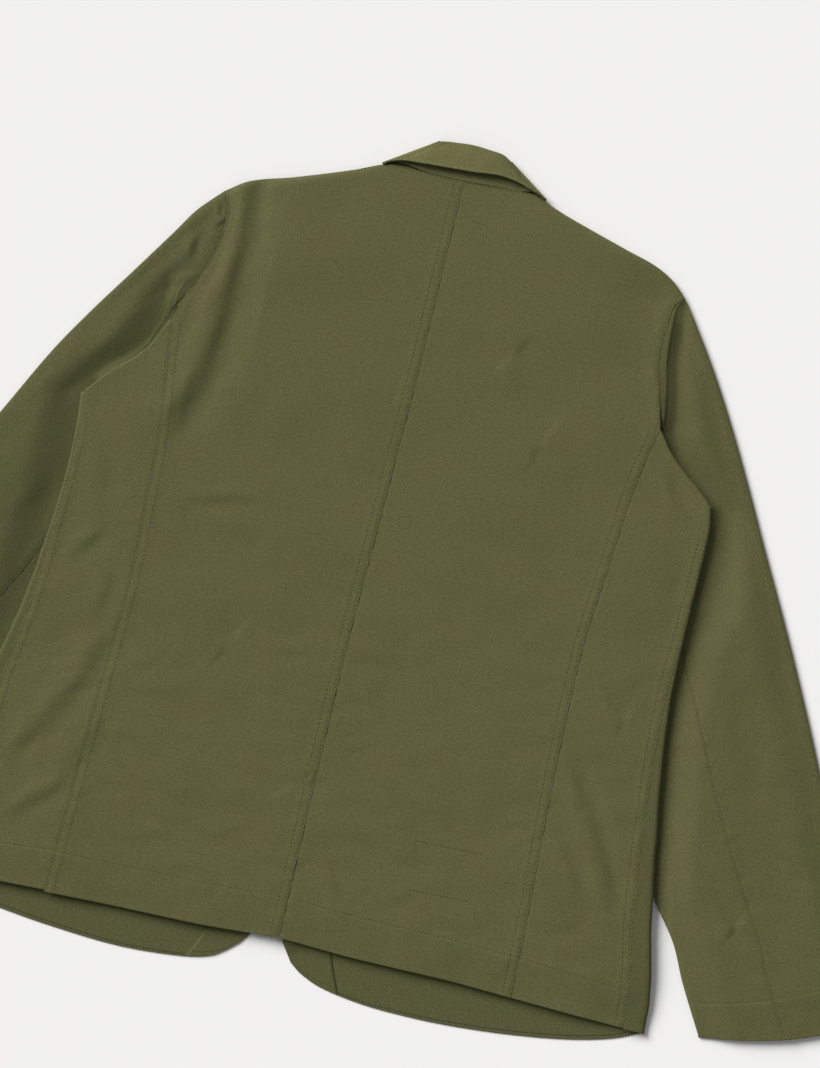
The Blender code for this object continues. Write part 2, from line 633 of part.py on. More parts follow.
def make_sleeve(name, side, piece):
    """The upper piece wraps the outer edge, the under piece the inner edge."""
    sign = side["sign"]
    stations = sleeve_stations(side)
    seam = stations[BACK_SEAM_STATION]
    top = [(1, share) for share in stations]
    hidden_start = len(arm_stations(side))
    under = [(-1, share) for share in stations[1:hidden_start]]
    if piece == "upper":
        columns = list(reversed(top[: BACK_SEAM_STATION + 1]))
        columns += under + [(-1, FRONT_SEAM_SHARE)]
    else:
        columns = top[BACK_SEAM_STATION:]
        columns += [(-1, stations[-2]), (-1, stations[-3]), (-1, FRONT_SEAM_SHARE)]
    rows = [0.0, 0.03, 0.06] + spread(0.06, 0.94, 14) + [0.946, 1.0]
    seam_shift = 1 if piece == "under" else -1

    def point(column, along):
        layer, share = column
        here = seam + read(side["sleeve_seam"], along)
        if layer > 0:
            if share <= seam:
                moved = share * here / seam
            else:
                moved = 1.0 - (1.0 - share) * (1.0 - here) / (1.0 - seam)
        else:
            moved = share
        at_seam = abs(share - (seam if layer > 0 else FRONT_SEAM_SHARE)) < 1e-6
        if at_seam:
            parting = mix(SEAM_GAP, SLEEVE_SEAM_PARTING, ease(1.4 - 6.0 * along))
            moved += seam_shift * parting / 2.0 / SLEEVE_WIDTH
        (out, down), from_outer, from_inner = sleeve_point(side, moved, along)
        if along == 0.0:
            out += SEAM_GAP / 2.0
        past_strip = out - read(side["armhole"], down) - read(side["strip"], down)
        full = sleeve_height(side, out, down)
        full = mix(read(SLEEVE_END_HEIGHT, down), full, ease(past_strip / STRIP_STEP))
        rounding = round_off(min(from_outer, from_inner), SLEEVE_EDGE)
        middle = mix(SLEEVE_UNDER_BODY / 2.0, SHOULDER_MIDDLE, ease(1.0 - along * 6.0))
        if layer > 0:
            height = mix(middle, full, rounding)
        else:
            height = middle * (1.0 - rounding)
        return place(sign * out, down, height)

    def thickness(column, along):
        return HEM_WALL if along > 0.943 else WALL

    return sheet("sleeve_" + piece + "_" + name, columns, rows, point, 1, OLIVE_SLEEVE, thickness)


def make_lapel(name, side):
    """Turned lapel: between the roll line, its own edge and the gorge seam."""
    sign = side["sign"]
    columns = [0.0] + spread(0.0, 1.0, 4)
    rows = [0.0] + spread(0.0, 1.0, 10)
    gorge, tip = LAPEL_GORGE_DOWN, side["lapel_edge"][0]

    def point(column, row):
        roll_down = mix(gorge, BREAK_DOWN - 6.0, row)
        edge_down = mix(tip[0], BREAK_DOWN, row)
        out = mix(read(side["front_edge"], roll_down) + SEAM_GAP, read(side["lapel_edge"], edge_down), column)
        down = mix(roll_down, edge_down, column)
        return place(sign * out, down, LAPEL_OVER_LEFT * lapped(side, out, down, LAPEL_LEAD))

    return sheet("lapel_" + name, columns, rows, point, -1, OLIVE, lambda column, row: COLLAR_WALL)


def make_collar(name, spec, wall):
    """A collar band, creased at both sides of the neck.

    Its middle lies over the back, its two ends are turned under the chest. Column 0 is
    the fold at its top, column 1 its lower edge.
    """
    columns = [0.0] + spread(0.0, 1.0, 4)
    ends = [("left", share) for share in spread(1.0, 0.0, 3)]
    rows = [("left", 1.0)] + ends[:-1] + [("left_crease", turn) for turn in (-90, -45, 0, 45, 90)]
    rows += [("middle", share) for share in spread(0.0, 1.0, 8)][:-1]
    rows += [("right_crease", turn) for turn in (90, 45, 0, -45, -90)]
    rows += [("right", share) for share in spread(0.0, 1.0, 3)]

    def crease(which, column, turn):
        """Place on the turned edge, and how far inside the outline it is."""
        fold, edge = spec["crease"][which]
        run = (edge[0] - fold[0], edge[1] - fold[1])
        length = math.hypot(*run)
        inward = (abs(run[1]) / length, abs(run[0]) / length)
        radius = mix(spec["radius"][0], spec["radius"][1], column)
        inset = radius * (1.0 - math.cos(math.radians(turn)))
        across = mix(fold[0], edge[0], column) - math.copysign(inward[0] * inset, edge[0])
        down = mix(fold[1], edge[1], column) + inward[1] * inset
        return across, down, spec["bottom"] + radius * (1.0 + math.sin(math.radians(turn)))

    def point(column, row):
        part, value = row
        if part.endswith("crease"):
            return place(*crease(part.split("_")[0], column, value))
        if part == "middle":
            first = crease("left", column, 90)
            last = crease("right", column, 90)
            across = mix(first[0], last[0], value)
            level = mix(first[1], last[1], value)
            bow = mix(read(spec["fold"], across), read(spec["edge"], across), column)
            down = mix(level, bow, ease(min(value, 1.0 - value) / 0.3))
            arch = math.sin(math.pi * value) ** 0.6
            rise = spec["rise"][0] + column * spec["rise"][1] + math.sin(math.pi * column) * spec["rise"][2]
            return place(across, down, mix(first[2], last[2], value) + arch * rise)
        start = crease(part, column, -90)
        end_fold, end_edge = spec["end"][part]
        across = mix(end_fold[0], end_edge[0], column)
        down = mix(end_fold[1], end_edge[1], column) + spec["end_bow"] * math.sin(math.pi * column)
        return place(mix(start[0], across, value), mix(start[1], down, value), spec["bottom"])

    return sheet(name, columns, rows, point, -1, OLIVE, lambda column, row: wall)


def make_button(index, down):
    """Plain button under the left front, sewn to the right one."""
    disc = bmesh.new()
    bmesh.ops.create_cone(
        disc, cap_ends=True, segments=24, radius1=BUTTON_RADIUS * MM,
        radius2=BUTTON_RADIUS * MM, depth=BUTTON_HEIGHT * MM,
    )
    rims = [edge for edge in disc.edges if abs(edge.verts[0].co.z - edge.verts[1].co.z) < 1e-9]
    bmesh.ops.bevel(disc, geom=rims, offset=BUTTON_EDGE * MM, segments=2, profile=0.5, affect="EDGES")
    name = "button_" + str(index)
    mesh = bpy.data.meshes.new(name)
    disc.to_mesh(mesh)
    disc.free()
    mesh.materials.append(new_material(name, BUTTON_BROWN, 0.4))
    button = bpy.data.objects.new(name, mesh)
    button.location = place(BUTTON_ACROSS, down, BUTTON_HEIGHT / 2.0)
    bpy.data.collections["baker_jacket"].objects.link(button)
    return button


def main():
    for item in list(bpy.data.objects):
        bpy.data.objects.remove(item, do_unlink=True)
    collection = bpy.data.collections.new("baker_jacket")
    bpy.context.scene.collection.children.link(collection)
    for name, side in SIDES.items():
        make_back(name, side)
        make_side(name, side)
        make_front(name, side)
        make_facing(name, side)
        make_lapel(name, side)
        make_sleeve(name, side, "upper")
        make_sleeve(name, side, "under")
    make_collar("collar_leaf", COLLAR_LEAF, COLLAR_WALL)
    make_collar("collar_stand", COLLAR_STAND, WALL)
    for index, down in enumerate(BUTTON_DOWNS, start=1):
        make_button(index, down)


main()
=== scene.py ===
import math

import bmesh
import bpy
from mathutils import Matrix, Vector, noise


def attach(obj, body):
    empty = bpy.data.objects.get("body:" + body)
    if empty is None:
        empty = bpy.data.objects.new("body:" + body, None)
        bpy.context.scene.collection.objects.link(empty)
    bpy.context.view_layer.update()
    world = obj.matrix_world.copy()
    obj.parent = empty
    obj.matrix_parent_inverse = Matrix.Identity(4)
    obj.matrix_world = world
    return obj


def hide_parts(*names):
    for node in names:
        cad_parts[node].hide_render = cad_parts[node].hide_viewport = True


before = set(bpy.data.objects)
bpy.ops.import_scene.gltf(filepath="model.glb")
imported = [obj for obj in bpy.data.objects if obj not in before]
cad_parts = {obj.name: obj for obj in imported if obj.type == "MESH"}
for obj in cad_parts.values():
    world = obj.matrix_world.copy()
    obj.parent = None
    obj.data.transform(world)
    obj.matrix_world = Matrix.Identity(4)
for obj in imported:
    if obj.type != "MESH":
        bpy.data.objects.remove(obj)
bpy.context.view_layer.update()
print("frame loaded,", len(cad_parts), "nodes")

# The jacket lies face down. Places on it are in millimetres: across from the middle of the
# back towards the wearer's right sleeve, down from the back neck seam, height off the floor.
mm = 0.001
neckToOrigin = 354.2

cloth = {
    "wall": 0.9,            # one layer of twill
    "hemWall": 1.7,         # turned up
    "collarWall": 2.1,      # two layers
    "standWall": 1.2,
    "seamGap": 0.14,
    "layerGap": 0.4,
    "crumple": 1.2,         # soft dents all over
}
felled = {                  # the flat seams of the body
    "nearRow": 1.7,         # from the seam's edge to its two rows of stitches
    "farRow": 8.3,
    "width": 9.4,
    "rise": 0.26,           # how much thicker it is than the cloth beside it
    "groove": 0.24,
    "farShare": 0.45,       # of the groove, at the far row
    "pucker": 0.42,
    "puckerRun": 6.5,
    "reach": 40.0,          # how far off the seam still pulls at the cloth
    "topRamp": 9.0,         # its relief grows over this much below the shoulder
}
turnUp = {                  # the hem and the cuffs
    "step": 0.42, "stepRun": 0.9,
    "slope": 2.6,           # how much lower the edge is than the stitches
    "groove": 0.5, "grooveWidth": 0.8,
    "edge": 0.7, "wave": 0.5,
    "hemReach": 70.0, "cuffReach": 60.0,
}
facing = {                  # columns of a front run from 1 to 2, its rows from 0 to 3
    "begins": 1.85, "inset": 0.0015,
    "belowBreak": 12.0,
    "wall": 0.3, "gap": 0.05,
    "hemRise": 0.1, "hemRiseFrom": 2.88, "hemRiseRun": 0.02,
}
thread = {
    "pitch": 3.8,
    "hemPitch": 3.06,
    "share": 0.70,          # of the pitch that shows as thread
    "width": 0.84,
    "height": 0.42,
    "lift": 0.05,
    "twist": 0.12,          # radians
    "uneven": 0.08,         # share of the pitch
    "batch": 24,            # stitches made at a time, which is quicker
}
lie = {                     # how the layers hold each other up, as in the frame, and where
    "sleeve": 6.6, "sleeveRamp": 42.0, "sleeveLead": 20.0,
    "sleeveFrom": 55.0, "sleeveFromRamp": 50.0,
    "overlap": 4.2, "overlapRamp": 34.0, "overlapLead": 20.0,
    "overlapFrom": 140.0, "overlapFromRamp": 40.0,
    "lapel": 3.0, "lapelRamp": 30.0, "lapelLead": 5.0, "lapelOverLeft": 4.5,
    "button": 2.8, "buttonRamp": 28.0, "buttonFlat": 30.0,
    "breakDown": 240.0, "breakBeyond": 50.0, "breakRamp": 40.0,
    "foldHeight": 4.6, "foldRamp": 70.0, "foldReliefRamp": 16.0, "foldWave": 0.9,
    "shoulderFold": 7.0, "shoulderMiddle": 3.6, "shoulderParting": 0.5,
    "neckHalf": 62.0, "neckRamp": 24.0,
}
foldTurn = math.pi * lie["foldHeight"] / 4.0   # half the way round a side fold
body = {
    "backLength": 700.0,
    "centreAtUnderarm": 170.0,
    "hemDepth": 38.0,
    "frontLength": 480.0,   # from the underarm to the lower edge
    "gridStep": 3.0,
}
sleeve = {
    "underBody": 5.8, "underRun": 24.0,
    "valley": 2.3,          # height of the top layer beside the body's edge
    "crown": 8.8,           # where it lies free
    "valleyRun": 36.0,
    "edge": 4.5, "edgeHeight": 5.0, "edgeRun": 34.0,
    "creaseLead": 4.0, "creaseRun": 12.0,
    "crisp": 0.3, "crispRun": 1.4,      # share and run of a sharp drop from the strip
    "crispBelow": 20.0, "crispRamp": 6.0,
    "usualWidth": 170.0, "topAbove": 4.2,
    "cuffDepth": 38.0,
    "cuffBow": (6.0, 7.0),
    "frontSeamShare": 0.86,
    "gridStep": 3.2,
}
button = {                  # the profile is out from the middle and up
    "across": -15.0, "downs": (262.0, 372.0, 482.0),
    "profile": [
        (0.0, 1.5), (5.4, 1.5), (6.6, 2.3), (8.6, 2.4), (9.7, 1.9), (10.0, 1.2), (9.6, 0.4),
        (8.4, 0.0), (0.0, 0.0),
    ],
}
# Where on the weave each piece is cut, so that no two show the same threads.
weaveStart = {"front": 700.0, "sleeve": 1500.0, "lapel": 2400.0, "collar": 3100.0}
paint = {
    "cloth": (0.100, 0.101, 0.038),
    "brown": (1.035, 0.98, 1.02),       # the tone that comes and goes in it
    # The collar's twill is painted lighter: a painted highlight for the light that its grain
    # catches.
    "collar": 1.20,
    "inside": 0.86,
    # The sleeves' tones are painted shade: the left sleeve painted darker and the right a little
    # darker, for how the light falls on their grain.
    "leftSleeve": (0.84, 0.10),         # and how much its coarse ridges show
    "rightSleeve": (0.97, 0.22),
    # The thread is painted darker than the cloth: its own colour plus the painted shade of the
    # stitch holes and grooves along its rows.
    "thread": (0.040, 0.040, 0.016),
    "button": (0.040, 0.028, 0.018),
    "floor": (0.84, 0.84, 0.836),
}
# Tables by how far down they are, but topLine and hemLine by how far across, and
# sideFrontWrap by the share of the way from the underarm to the hem.
backHeightTable = [(0, 7.0), (40, 9.4), (110, 11.4), (540, 11.8), (640, 11.2), (700, 10.2)]
armholeHeightTable = [(56, 5.6), (80, 8.4), (120, 9.8), (176, 10.8), (232, 11.2)]
sleeveEndHeightTable = [
    (56, 5.5), (80, 8.3), (120, 9.7), (152, 10.0), (166, 8.8), (176, 6.4), (250, 5.8),
]
topLine = [
    (-207, 58), (-187, 44), (-148, 31), (-97, 12), (-74, 2), (-62, -0.5), (-34, 0), (0, 0),
    (35, -2), (66, -3), (78, 1.5), (96, 8), (156, 25.5), (186, 34), (205, 44), (218, 56),
]
hemLine = [
    (-340, 711), (-260, 709), (-168, 706), (-76, 704), (-4, 700), (62, 702),
    (154, 702), (211, 704), (285, 705), (336, 708),
]
centreSeam = [(0, 1), (170, 0.5), (345, -3), (440, -5), (700, -4)]
sideFrontWrap = [   # from the side fold to the side-front seam, over the top
    (0.0, 1.3), (0.25, 2.5), (0.38, 6.5), (0.5, 10.0), (0.65, 15.0), (0.85, 20.0), (1.0, 21.0),
]
turnedWidth = [   # of the lapels and the collar's ends beside the front edges
    (0, 16), (20, 28), (46, 62), (73, 88), (104, 94), (125, 88), (150, 78), (200, 48), (240, 14),
]

# Down and out from the middle for each line, but for frontHem, which is out and down, and
# sleeveSeam, which is the share of the way along the sleeve and the share across it.
# Beside the armhole, strip is the width of the sleeve that stays high and stripStep the
# run over which it then drops. hollow is the width that stays low beside the body.
sides = {
    "left": {
        "sign": -1, "shoulder": 58.0, "junction": 180.0, "underarm": 263.0, "buttonLap": True,
        "backSeamShare": 0.455,
        "armhole": [
            (58, 207), (66, 202), (83, 199.5), (111, 202), (141, 211.5), (158, 219),
            (180, 226), (195, 228), (215, 224), (235, 215), (250, 206),
        ],
        "panelTop": [(180, 226), (209, 239), (236, 266), (263, 290)],
        "backSeam": [
            (180, 226), (217, 222), (281, 214), (345, 211), (414, 209), (524, 213), (706, 219),
        ],
        "fold": [
            (263, 290), (300, 287), (345, 287), (405, 291.5), (465, 299), (530, 312),
            (600, 323), (665, 333), (711, 340),
        ],
        "strip": [
            (58, 0.8), (132, 0.8), (138, 4), (143, 9), (152, 8), (165, 5), (178, 0.9), (250, 0.4),
        ],
        "stripStep": [(58, 45), (120, 42), (140, 22), (154, 12), (250, 9)],
        "hollow": [(58, 1), (140, 1), (165, 8), (200, 6), (300, 3), (700, 2)],
        "sleeveSeam": [
            (0.0, 0.0), (0.1, 0.03), (0.2, 0.14), (0.3, 0.25), (0.42, 0.284), (0.54, 0.248),
            (0.8, 0.185), (1.0, 0.15),
        ],
        "sleeveOuter": [
            (58, 207), (80, 227), (102, 241), (145, 269), (189, 298), (232, 324),
            (295, 356), (358, 389), (441, 430), (550, 481), (652, 530),
        ],
        "sleeveInner": [
            (250, 206), (290, 210), (340, 222), (430, 248), (530, 284), (590, 318),
            (623, 341), (655, 358), (699, 383),
        ],
        "frontEdge": [
            (3, 69), (43, 55), (240, -4), (330, -5), (560, -3), (630, 4), (670, 14),
            (698.5, 27.6), (712, 37.3),
        ],
        "frontHem": [
            (37.3, 712), (48.7, 722), (61, 730), (87, 736), (142, 740), (198, 737.5),
            (260, 731), (300, 723), (340, 711),
        ],
        "lapelEdge": [(104, 112), (125, 100), (150, 84), (200, 42), (240, 4)],
    },
    "right": {
        "sign": 1, "shoulder": 56.0, "junction": 176.0, "underarm": 232.0, "buttonLap": False,
        "backSeamShare": 0.443,
        "armhole": [
            (56, 218), (65, 211), (83, 208.5), (101, 207.5), (120, 208.5), (140, 214), (158, 219),
            (176, 223.5), (192, 225.5), (215, 221), (235, 213), (250, 205),
        ],
        "panelTop": [(176, 223.5), (183, 228.5), (192, 235), (207, 252), (232, 284)],
        "backSeam": [
            (176, 223.5), (228, 214), (320, 206), (380, 201.5), (467, 202), (547, 205),
            (620, 208.5), (704, 211),
        ],
        "fold": [
            (232, 284), (256, 288), (345, 288), (408, 289), (450, 293), (538, 306),
            (605, 318), (665, 331), (708, 336),
        ],
        "strip": [
            (56, 1.0), (80, 4), (100, 6), (125, 7.5), (150, 5.5), (166, 4), (176, 1.0), (250, 0.4),
        ],
        "stripStep": [(56, 8), (75, 11), (176, 13), (250, 10)],
        "hollow": [
            (56, 1), (110, 3), (176, 6), (230, 12), (290, 16), (330, 11), (370, 5), (700, 2),
        ],
        "sleeveSeam": [
            (0.0, 0.0), (0.1, 0.03), (0.2, 0.12), (0.3, 0.2), (0.363, 0.213), (0.493, 0.17),
            (0.642, 0.139), (0.79, 0.117), (1.0, 0.09),
        ],
        "sleeveOuter": [
            (56, 218), (65, 225), (113, 258), (161, 287), (210, 314), (260, 340.5),
            (309, 367), (358, 392.6), (441, 433.5), (550, 483), (652, 530),
        ],
        "sleeveInner": [
            (250, 205), (290, 209), (340, 221), (430, 248), (530, 284), (590, 318),
            (623, 342), (655, 358), (700, 384),
        ],
        "frontEdge": [
            (3, 71), (43, 52), (240, -34), (330, -35), (560, -30), (630, -22), (672, -12),
            (699, -2), (719, 11),
        ],
        "frontHem": [
            (11, 719), (21.6, 726.6), (42, 734.7), (81, 740.8), (123, 742.4), (164, 741.4),
            (218, 736.8), (272, 728.7), (310, 719), (336, 708),
        ],
        "lapelEdge": [(104, 110), (125, 98), (150, 81), (200, 28), (240, -27)],
    },
}

# Creases of the body. Each is a run of places (across, down), its half width and how far
# its side away from the light falls, or rises where that is negative.
bodyCreases = [
    ([
        (-186, 8), (-184, 46), (-180, 93), (-181, 141), (-182, 178), (-186, 216), (-198, 256),
        (-201, 292),
    ], 11.0, 2.4),
    ([(-212, 190), (-218, 240), (-226, 300)], 9.0, 0.3),
    ([(-150, 140), (-155, 220), (-170, 300)], 16.0, -0.3),
    ([(-213, 458), (-231, 519), (-284, 609)], 9.0, 1.0),
    ([(-196, 520), (-212, 570), (-240, 640)], 8.0, 0.5),
    ([(-234, 373), (-251, 392), (-268, 415)], 6.0, 0.75),
    ([(-262, 300), (-250, 340), (-246, 372)], 9.0, 0.4),
    ([(-286, 366), (-250, 372), (-219, 383)], 6.0, 0.4),
    ([(-217, 605), (-246, 628), (-273, 655)], 6.5, 0.85),
    ([(-232, 400), (-226, 430), (-232, 470)], 6.0, 0.5),
    ([(205, 473), (241, 527), (265, 567), (287, 618)], 8.0, 1.15),
    ([(213, 551), (236, 576), (255, 603)], 6.5, 0.8),
    ([(220, 408), (252, 440), (264, 445)], 6.0, 0.75),
    ([(232, 210), (250, 231), (268, 244)], 7.0, 1.0),
    ([(236, 262), (262, 300), (272, 350)], 12.0, 0.4),
    ([(32, 123), (79, 141), (105, 164)], 11.0, 0.6),
    ([(90, 190), (122, 214), (150, 222)], 13.0, 0.4),
    ([(167, 553), (193, 552)], 4.0, 0.5),
    ([(-190, 333), (-158, 333), (-133, 325), (-112, 325), (-94, 329)], 6.0, 0.75),
    ([(-150, 350), (-118, 352), (-88, 358)], 8.0, 0.35),
    ([(-76, 449), (-32, 446)], 5.0, 0.5),
    ([(0.5, 434), (46, 439)], 5.0, 0.5),
    ([(6, 468), (38, 485)], 5.5, 0.55),
    ([(62, 540), (92, 556), (123, 571)], 6.0, 0.6),
    ([(18, 626), (34, 640), (48, 655)], 5.0, 0.5),
    ([(77, 649), (94, 640), (109, 628)], 5.0, 0.45),
    ([(118, 650), (157, 657)], 5.0, 0.45),
    ([(-192, 505), (-176, 512), (-160, 517)], 5.0, 0.55),
    ([(-200, 593), (-181, 597), (-162, 601)], 5.0, 0.55),
    ([(-204, 552), (-184, 556), (-170, 556)], 5.0, 0.4),
    ([(-150, 635), (-115, 635)], 5.0, 0.45),
    ([(-120, 658), (-78, 657)], 4.5, 0.4),
    ([(120, 300), (150, 330), (158, 372)], 16.0, 0.5),
    ([(-60, 200), (-95, 240), (-110, 290)], 20.0, 0.5),
    ([(60, 350), (100, 372), (150, 380)], 14.0, 0.4),
    ([(-150, 420), (-110, 452), (-70, 470)], 15.0, 0.45),
    ([(-60, 540), (-20, 560), (-8, 600)], 12.0, 0.4),
    ([(-118, 566), (-70, 586), (-26, 592)], 8.0, 0.45),
    ([(30, 588), (80, 606), (126, 600)], 8.0, 0.45),
    ([(-126, 616), (-84, 626), (-40, 620)], 7.0, 0.4),
]
# Creases of the sleeves, in the same way.
sleeveCreases = [
    ([(-213, 64), (-209, 71), (-203, 82)], 2.6, 0.95),
    ([(-197, 79), (-202, 86), (-209, 92)], 2.4, 0.8),
    ([(-216, 78), (-212, 92), (-210, 112)], 7.0, -0.9),
    ([(-221, 97), (-222, 110), (-221, 128)], 3.4, 1.25),
    ([(-222, 66), (-240, 92), (-262, 124), (-286, 160)], 9.0, 0.9),
    ([(-236, 128), (-262, 158), (-300, 196)], 14.0, -0.6),
    ([(-286, 200), (-320, 262), (-356, 330)], 16.0, 0.8),
    ([(-318, 300), (-346, 360), (-372, 420)], 13.0, -0.5),
    ([(-296, 330), (-312, 372), (-330, 400)], 9.0, 0.6),
    ([(-340, 430), (-380, 480), (-430, 520)], 13.0, 0.6),
    ([(-400, 560), (-430, 600), (-470, 640)], 11.0, 0.6),
    ([(219, 62), (224, 72), (230, 84)], 3.6, 0.8),
    ([(230, 74), (240, 96), (252, 118)], 7.0, -0.5),
    ([(246, 120), (262, 180), (286, 240)], 14.0, 0.5),
    ([(300, 250), (332, 318), (360, 372)], 16.0, -0.5),
    ([(336, 380), (360, 440), (380, 500)], 12.0, 0.55),
    ([(352, 560), (392, 596), (424, 612)], 6.0, 0.7),
    ([(364, 600), (404, 622), (428, 636)], 4.5, 0.6),
    ([(372, 536), (400, 580), (420, 600)], 7.0, 0.4),
    ([(420, 480), (462, 540), (494, 600)], 12.0, 0.45),
    ([(440, 640), (470, 650), (500, 640)], 6.0, 0.35),
]

# The two layers of the collar, turned round and joined at a crease at each end. radius is
# at the fold and at the edge, rise how the middle bulges.
collarLeaf = {
    "fold": [(-29, -30.8), (-15, -32.3), (1, -33.7), (18, -32.8), (30, -31.4), (39, -27.2)],
    "edge": [
        (-72, -1.6), (-58, -5.2), (-42, -6.5), (-22, -7.8), (7, -9.6), (31, -12), (48, -10),
        (62, -6), (76, -2),
    ],
    "crease": {"left": ((-29, -30.8), (-75, 0.2)), "right": ((39, -27.2), (77, -1.6))},
    "end": {"left": ((-53.5, 42), (-117, 73)), "right": ((50.5, 42), (115, 73))},
    "endBow": 12.0,
    "bottom": 0.0,
    "radius": (3.9, 4.8),
    "rise": (0.5, 2.9, 1.2),
}
collarStand = {
    "fold": [(-26, -27.5), (-15, -29.3), (1, -30.7), (18, -29.8), (30, -27.4), (35, -24)],
    "edge": [(-67, -2.0), (-51, -2.6), (-34, -0.3), (-17, 0.0), (0, -0.1), (35, -2.1), (70, -3.2)],
    "crease": {"left": ((-27, -26.5), (-65.5, -3.2)), "right": ((36, -23.5), (68, -4.8))},
    "end": {"left": ((-48, 34), (-53.5, 33)), "right": ((44, 34), (51, 33))},
    "endBow": 0.0,
    "bottom": 2.4,
    "radius": (1.7, 1.7),
    "rise": (0.0, 1.0, 0.0),
}
collarRoll = {
    "tipInward": (0.93, -0.36),         # where the top layer runs back along its edge
    "foldInset": 0.7, "foldShare": 0.4,
    "endShare": 0.13,       # of its length, where the crease shapes it
    "topAbove": 4.5,
    "archPower": 0.6,
    "edgeDrop": 1.0, "endRamp": 0.06,
    "lip": 0.8, "lipShare": 0.1,
    "dent": 0.45, "dentSize": 14.0,
}
awayFromLight = (0.851, 0.525)          # across and down


def ease(share):
    share = min(max(share, 0.0), 1.0)
    return share * share * (3.0 - 2.0 * share)


def mix(first, second, share):
    return first + (second - first) * share


def spread(start, end, count):
    return [mix(start, end, step / count) for step in range(1, count + 1)]


def between(start, end, count):
    return spread(start, end, count)[:-1]


def read(table, at):   # a smooth curve through the table's rows, level past its ends
    if at <= table[0][0]:
        return float(table[0][1])
    if at >= table[-1][0]:
        return float(table[-1][1])
    index = 0
    while table[index + 1][0] < at:
        index += 1
    low, high = table[index], table[index + 1]
    before, after = table[max(index - 1, 0)], table[min(index + 2, len(table) - 1)]
    lowSlope = (high[1] - before[1]) / (high[0] - before[0])
    highSlope = (after[1] - low[1]) / (after[0] - low[0])
    run = high[0] - low[0]
    t = (at - low[0]) / run
    square = t * t
    cube = square * t
    return (
        (2 * cube - 3 * square + 1) * low[1] + (cube - 2 * square + t) * run * lowSlope
        + (3 * square - 2 * cube) * high[1] + (cube - square) * run * highSlope
    )


def place(across, down, height):
    return Vector((across * mm, (neckToOrigin - down) * mm, height * mm))


def roundOff(distance, reach):   # a quarter round, 0 at an edge, 1 at its reach
    share = min(max(distance / reach, 0.0), 1.0)
    return math.sqrt(1.0 - (1.0 - share) ** 2)


def uneven(x, y, xSize, ySize, seed):   # smooth noise between -1 and 1, of these sizes
    return noise.noise(Vector((x / xSize, y / ySize, seed)))


# How the layers lie.

def sleeveBegins(side, down):
    joint = side["armhole"][-1][0]
    return read(side["armhole"] if down < joint else side["sleeveInner"], down)


def bodyEdge(side, down):
    if down < side["junction"]:
        return read(side["armhole"], down)
    if down < side["underarm"]:
        return read(side["panelTop"], down)
    return read(side["fold"], down)


def lapped(side, out, down, lead):   # 1 where the right front lies on the left one
    if side["buttonLap"]:
        return 0.0
    past = out + read(sides["left"]["frontEdge"], down) - lead
    begun = ease((down - lie["overlapFrom"]) / lie["overlapFromRamp"])
    return ease(1.0 - past / lie["overlapRamp"]) * begun


def frontHeight(side, out, down):   # underside of a front
    inside = out - sleeveBegins(side, down)
    height = lie["sleeve"] * ease(1.0 + (inside + lie["sleeveLead"]) / lie["sleeveRamp"])
    height *= ease((down - side["shoulder"] - lie["sleeveFrom"]) / lie["sleeveFromRamp"])
    outside = out - read(side["frontEdge"], down) - read(turnedWidth, down)
    overLapel = lie["lapel"] * ease(1.0 - outside / lie["lapelRamp"])
    aboveBreak = ease((lie["breakDown"] + lie["breakBeyond"] - down) / lie["breakRamp"])
    height = max(height, overLapel * aboveBreak)
    beside = abs(side["sign"] * out - button["across"]) - lie["buttonFlat"]
    beyond = max(button["downs"][0] - down, down - button["downs"][-1]) - lie["buttonFlat"]
    overButtons = ease(1.0 - beside / lie["buttonRamp"]) * ease(1.0 - beyond / lie["buttonRamp"])
    height = max(height, lie["button"] * overButtons)
    return height + lie["overlap"] * lapped(side, out, down, lie["overlapLead"])


def backHeight(across, down):   # outer surface of the back and side panels
    side = sides["right"] if across > 0 else sides["left"]
    out = abs(across)
    edge = bodyEdge(side, down) - lie["foldHeight"] / 2.0
    if down < side["underarm"]:
        edgeHeight = read(armholeHeightTable, down)
    else:
        edgeHeight = frontHeight(side, edge, down) + lie["foldHeight"]
    height = mix(edgeHeight, read(backHeightTable, down), ease((edge - out) / lie["foldRamp"]))
    height += bodyRelief(across, down) * ease((edge - out) / lie["foldReliefRamp"])
    rounding = roundOff(down - read(topLine, across), lie["shoulderFold"])
    edgeTop = lie["shoulderMiddle"] + lie["shoulderParting"]
    rounded = edgeTop + (height - edgeTop) * rounding
    lowest = frontHeight(side, out, down) + 2.0 * cloth["wall"] + cloth["layerGap"]
    return max(mix(height, rounded, ease((out - lie["neckHalf"]) / lie["neckRamp"])), lowest)


def foldEdge(side, down):   # the side fold, with the small waves of its seam
    wave = lie["foldWave"] * uneven(down, side["sign"] * 4.0, 21.0, 1.0, 0.3)
    return read(side["fold"], down) + wave * ease((down - 330.0) / 160.0)


def foldPoint(side, down, roundFold):   # by the distance round the fold, positive over the top
    radius = lie["foldHeight"] / 2.0
    edge = foldEdge(side, down)
    middle = frontHeight(side, edge - radius, down) + radius
    if abs(roundFold) <= foldTurn:
        angle = roundFold / radius
        return edge - radius + radius * math.cos(angle), middle + radius * math.sin(angle)
    out = edge - radius - (abs(roundFold) - foldTurn)
    if roundFold > 0:
        return out, backHeight(side["sign"] * out, down)
    return out, frontHeight(side, out, down)


# Creases, dents and the relief of seams.

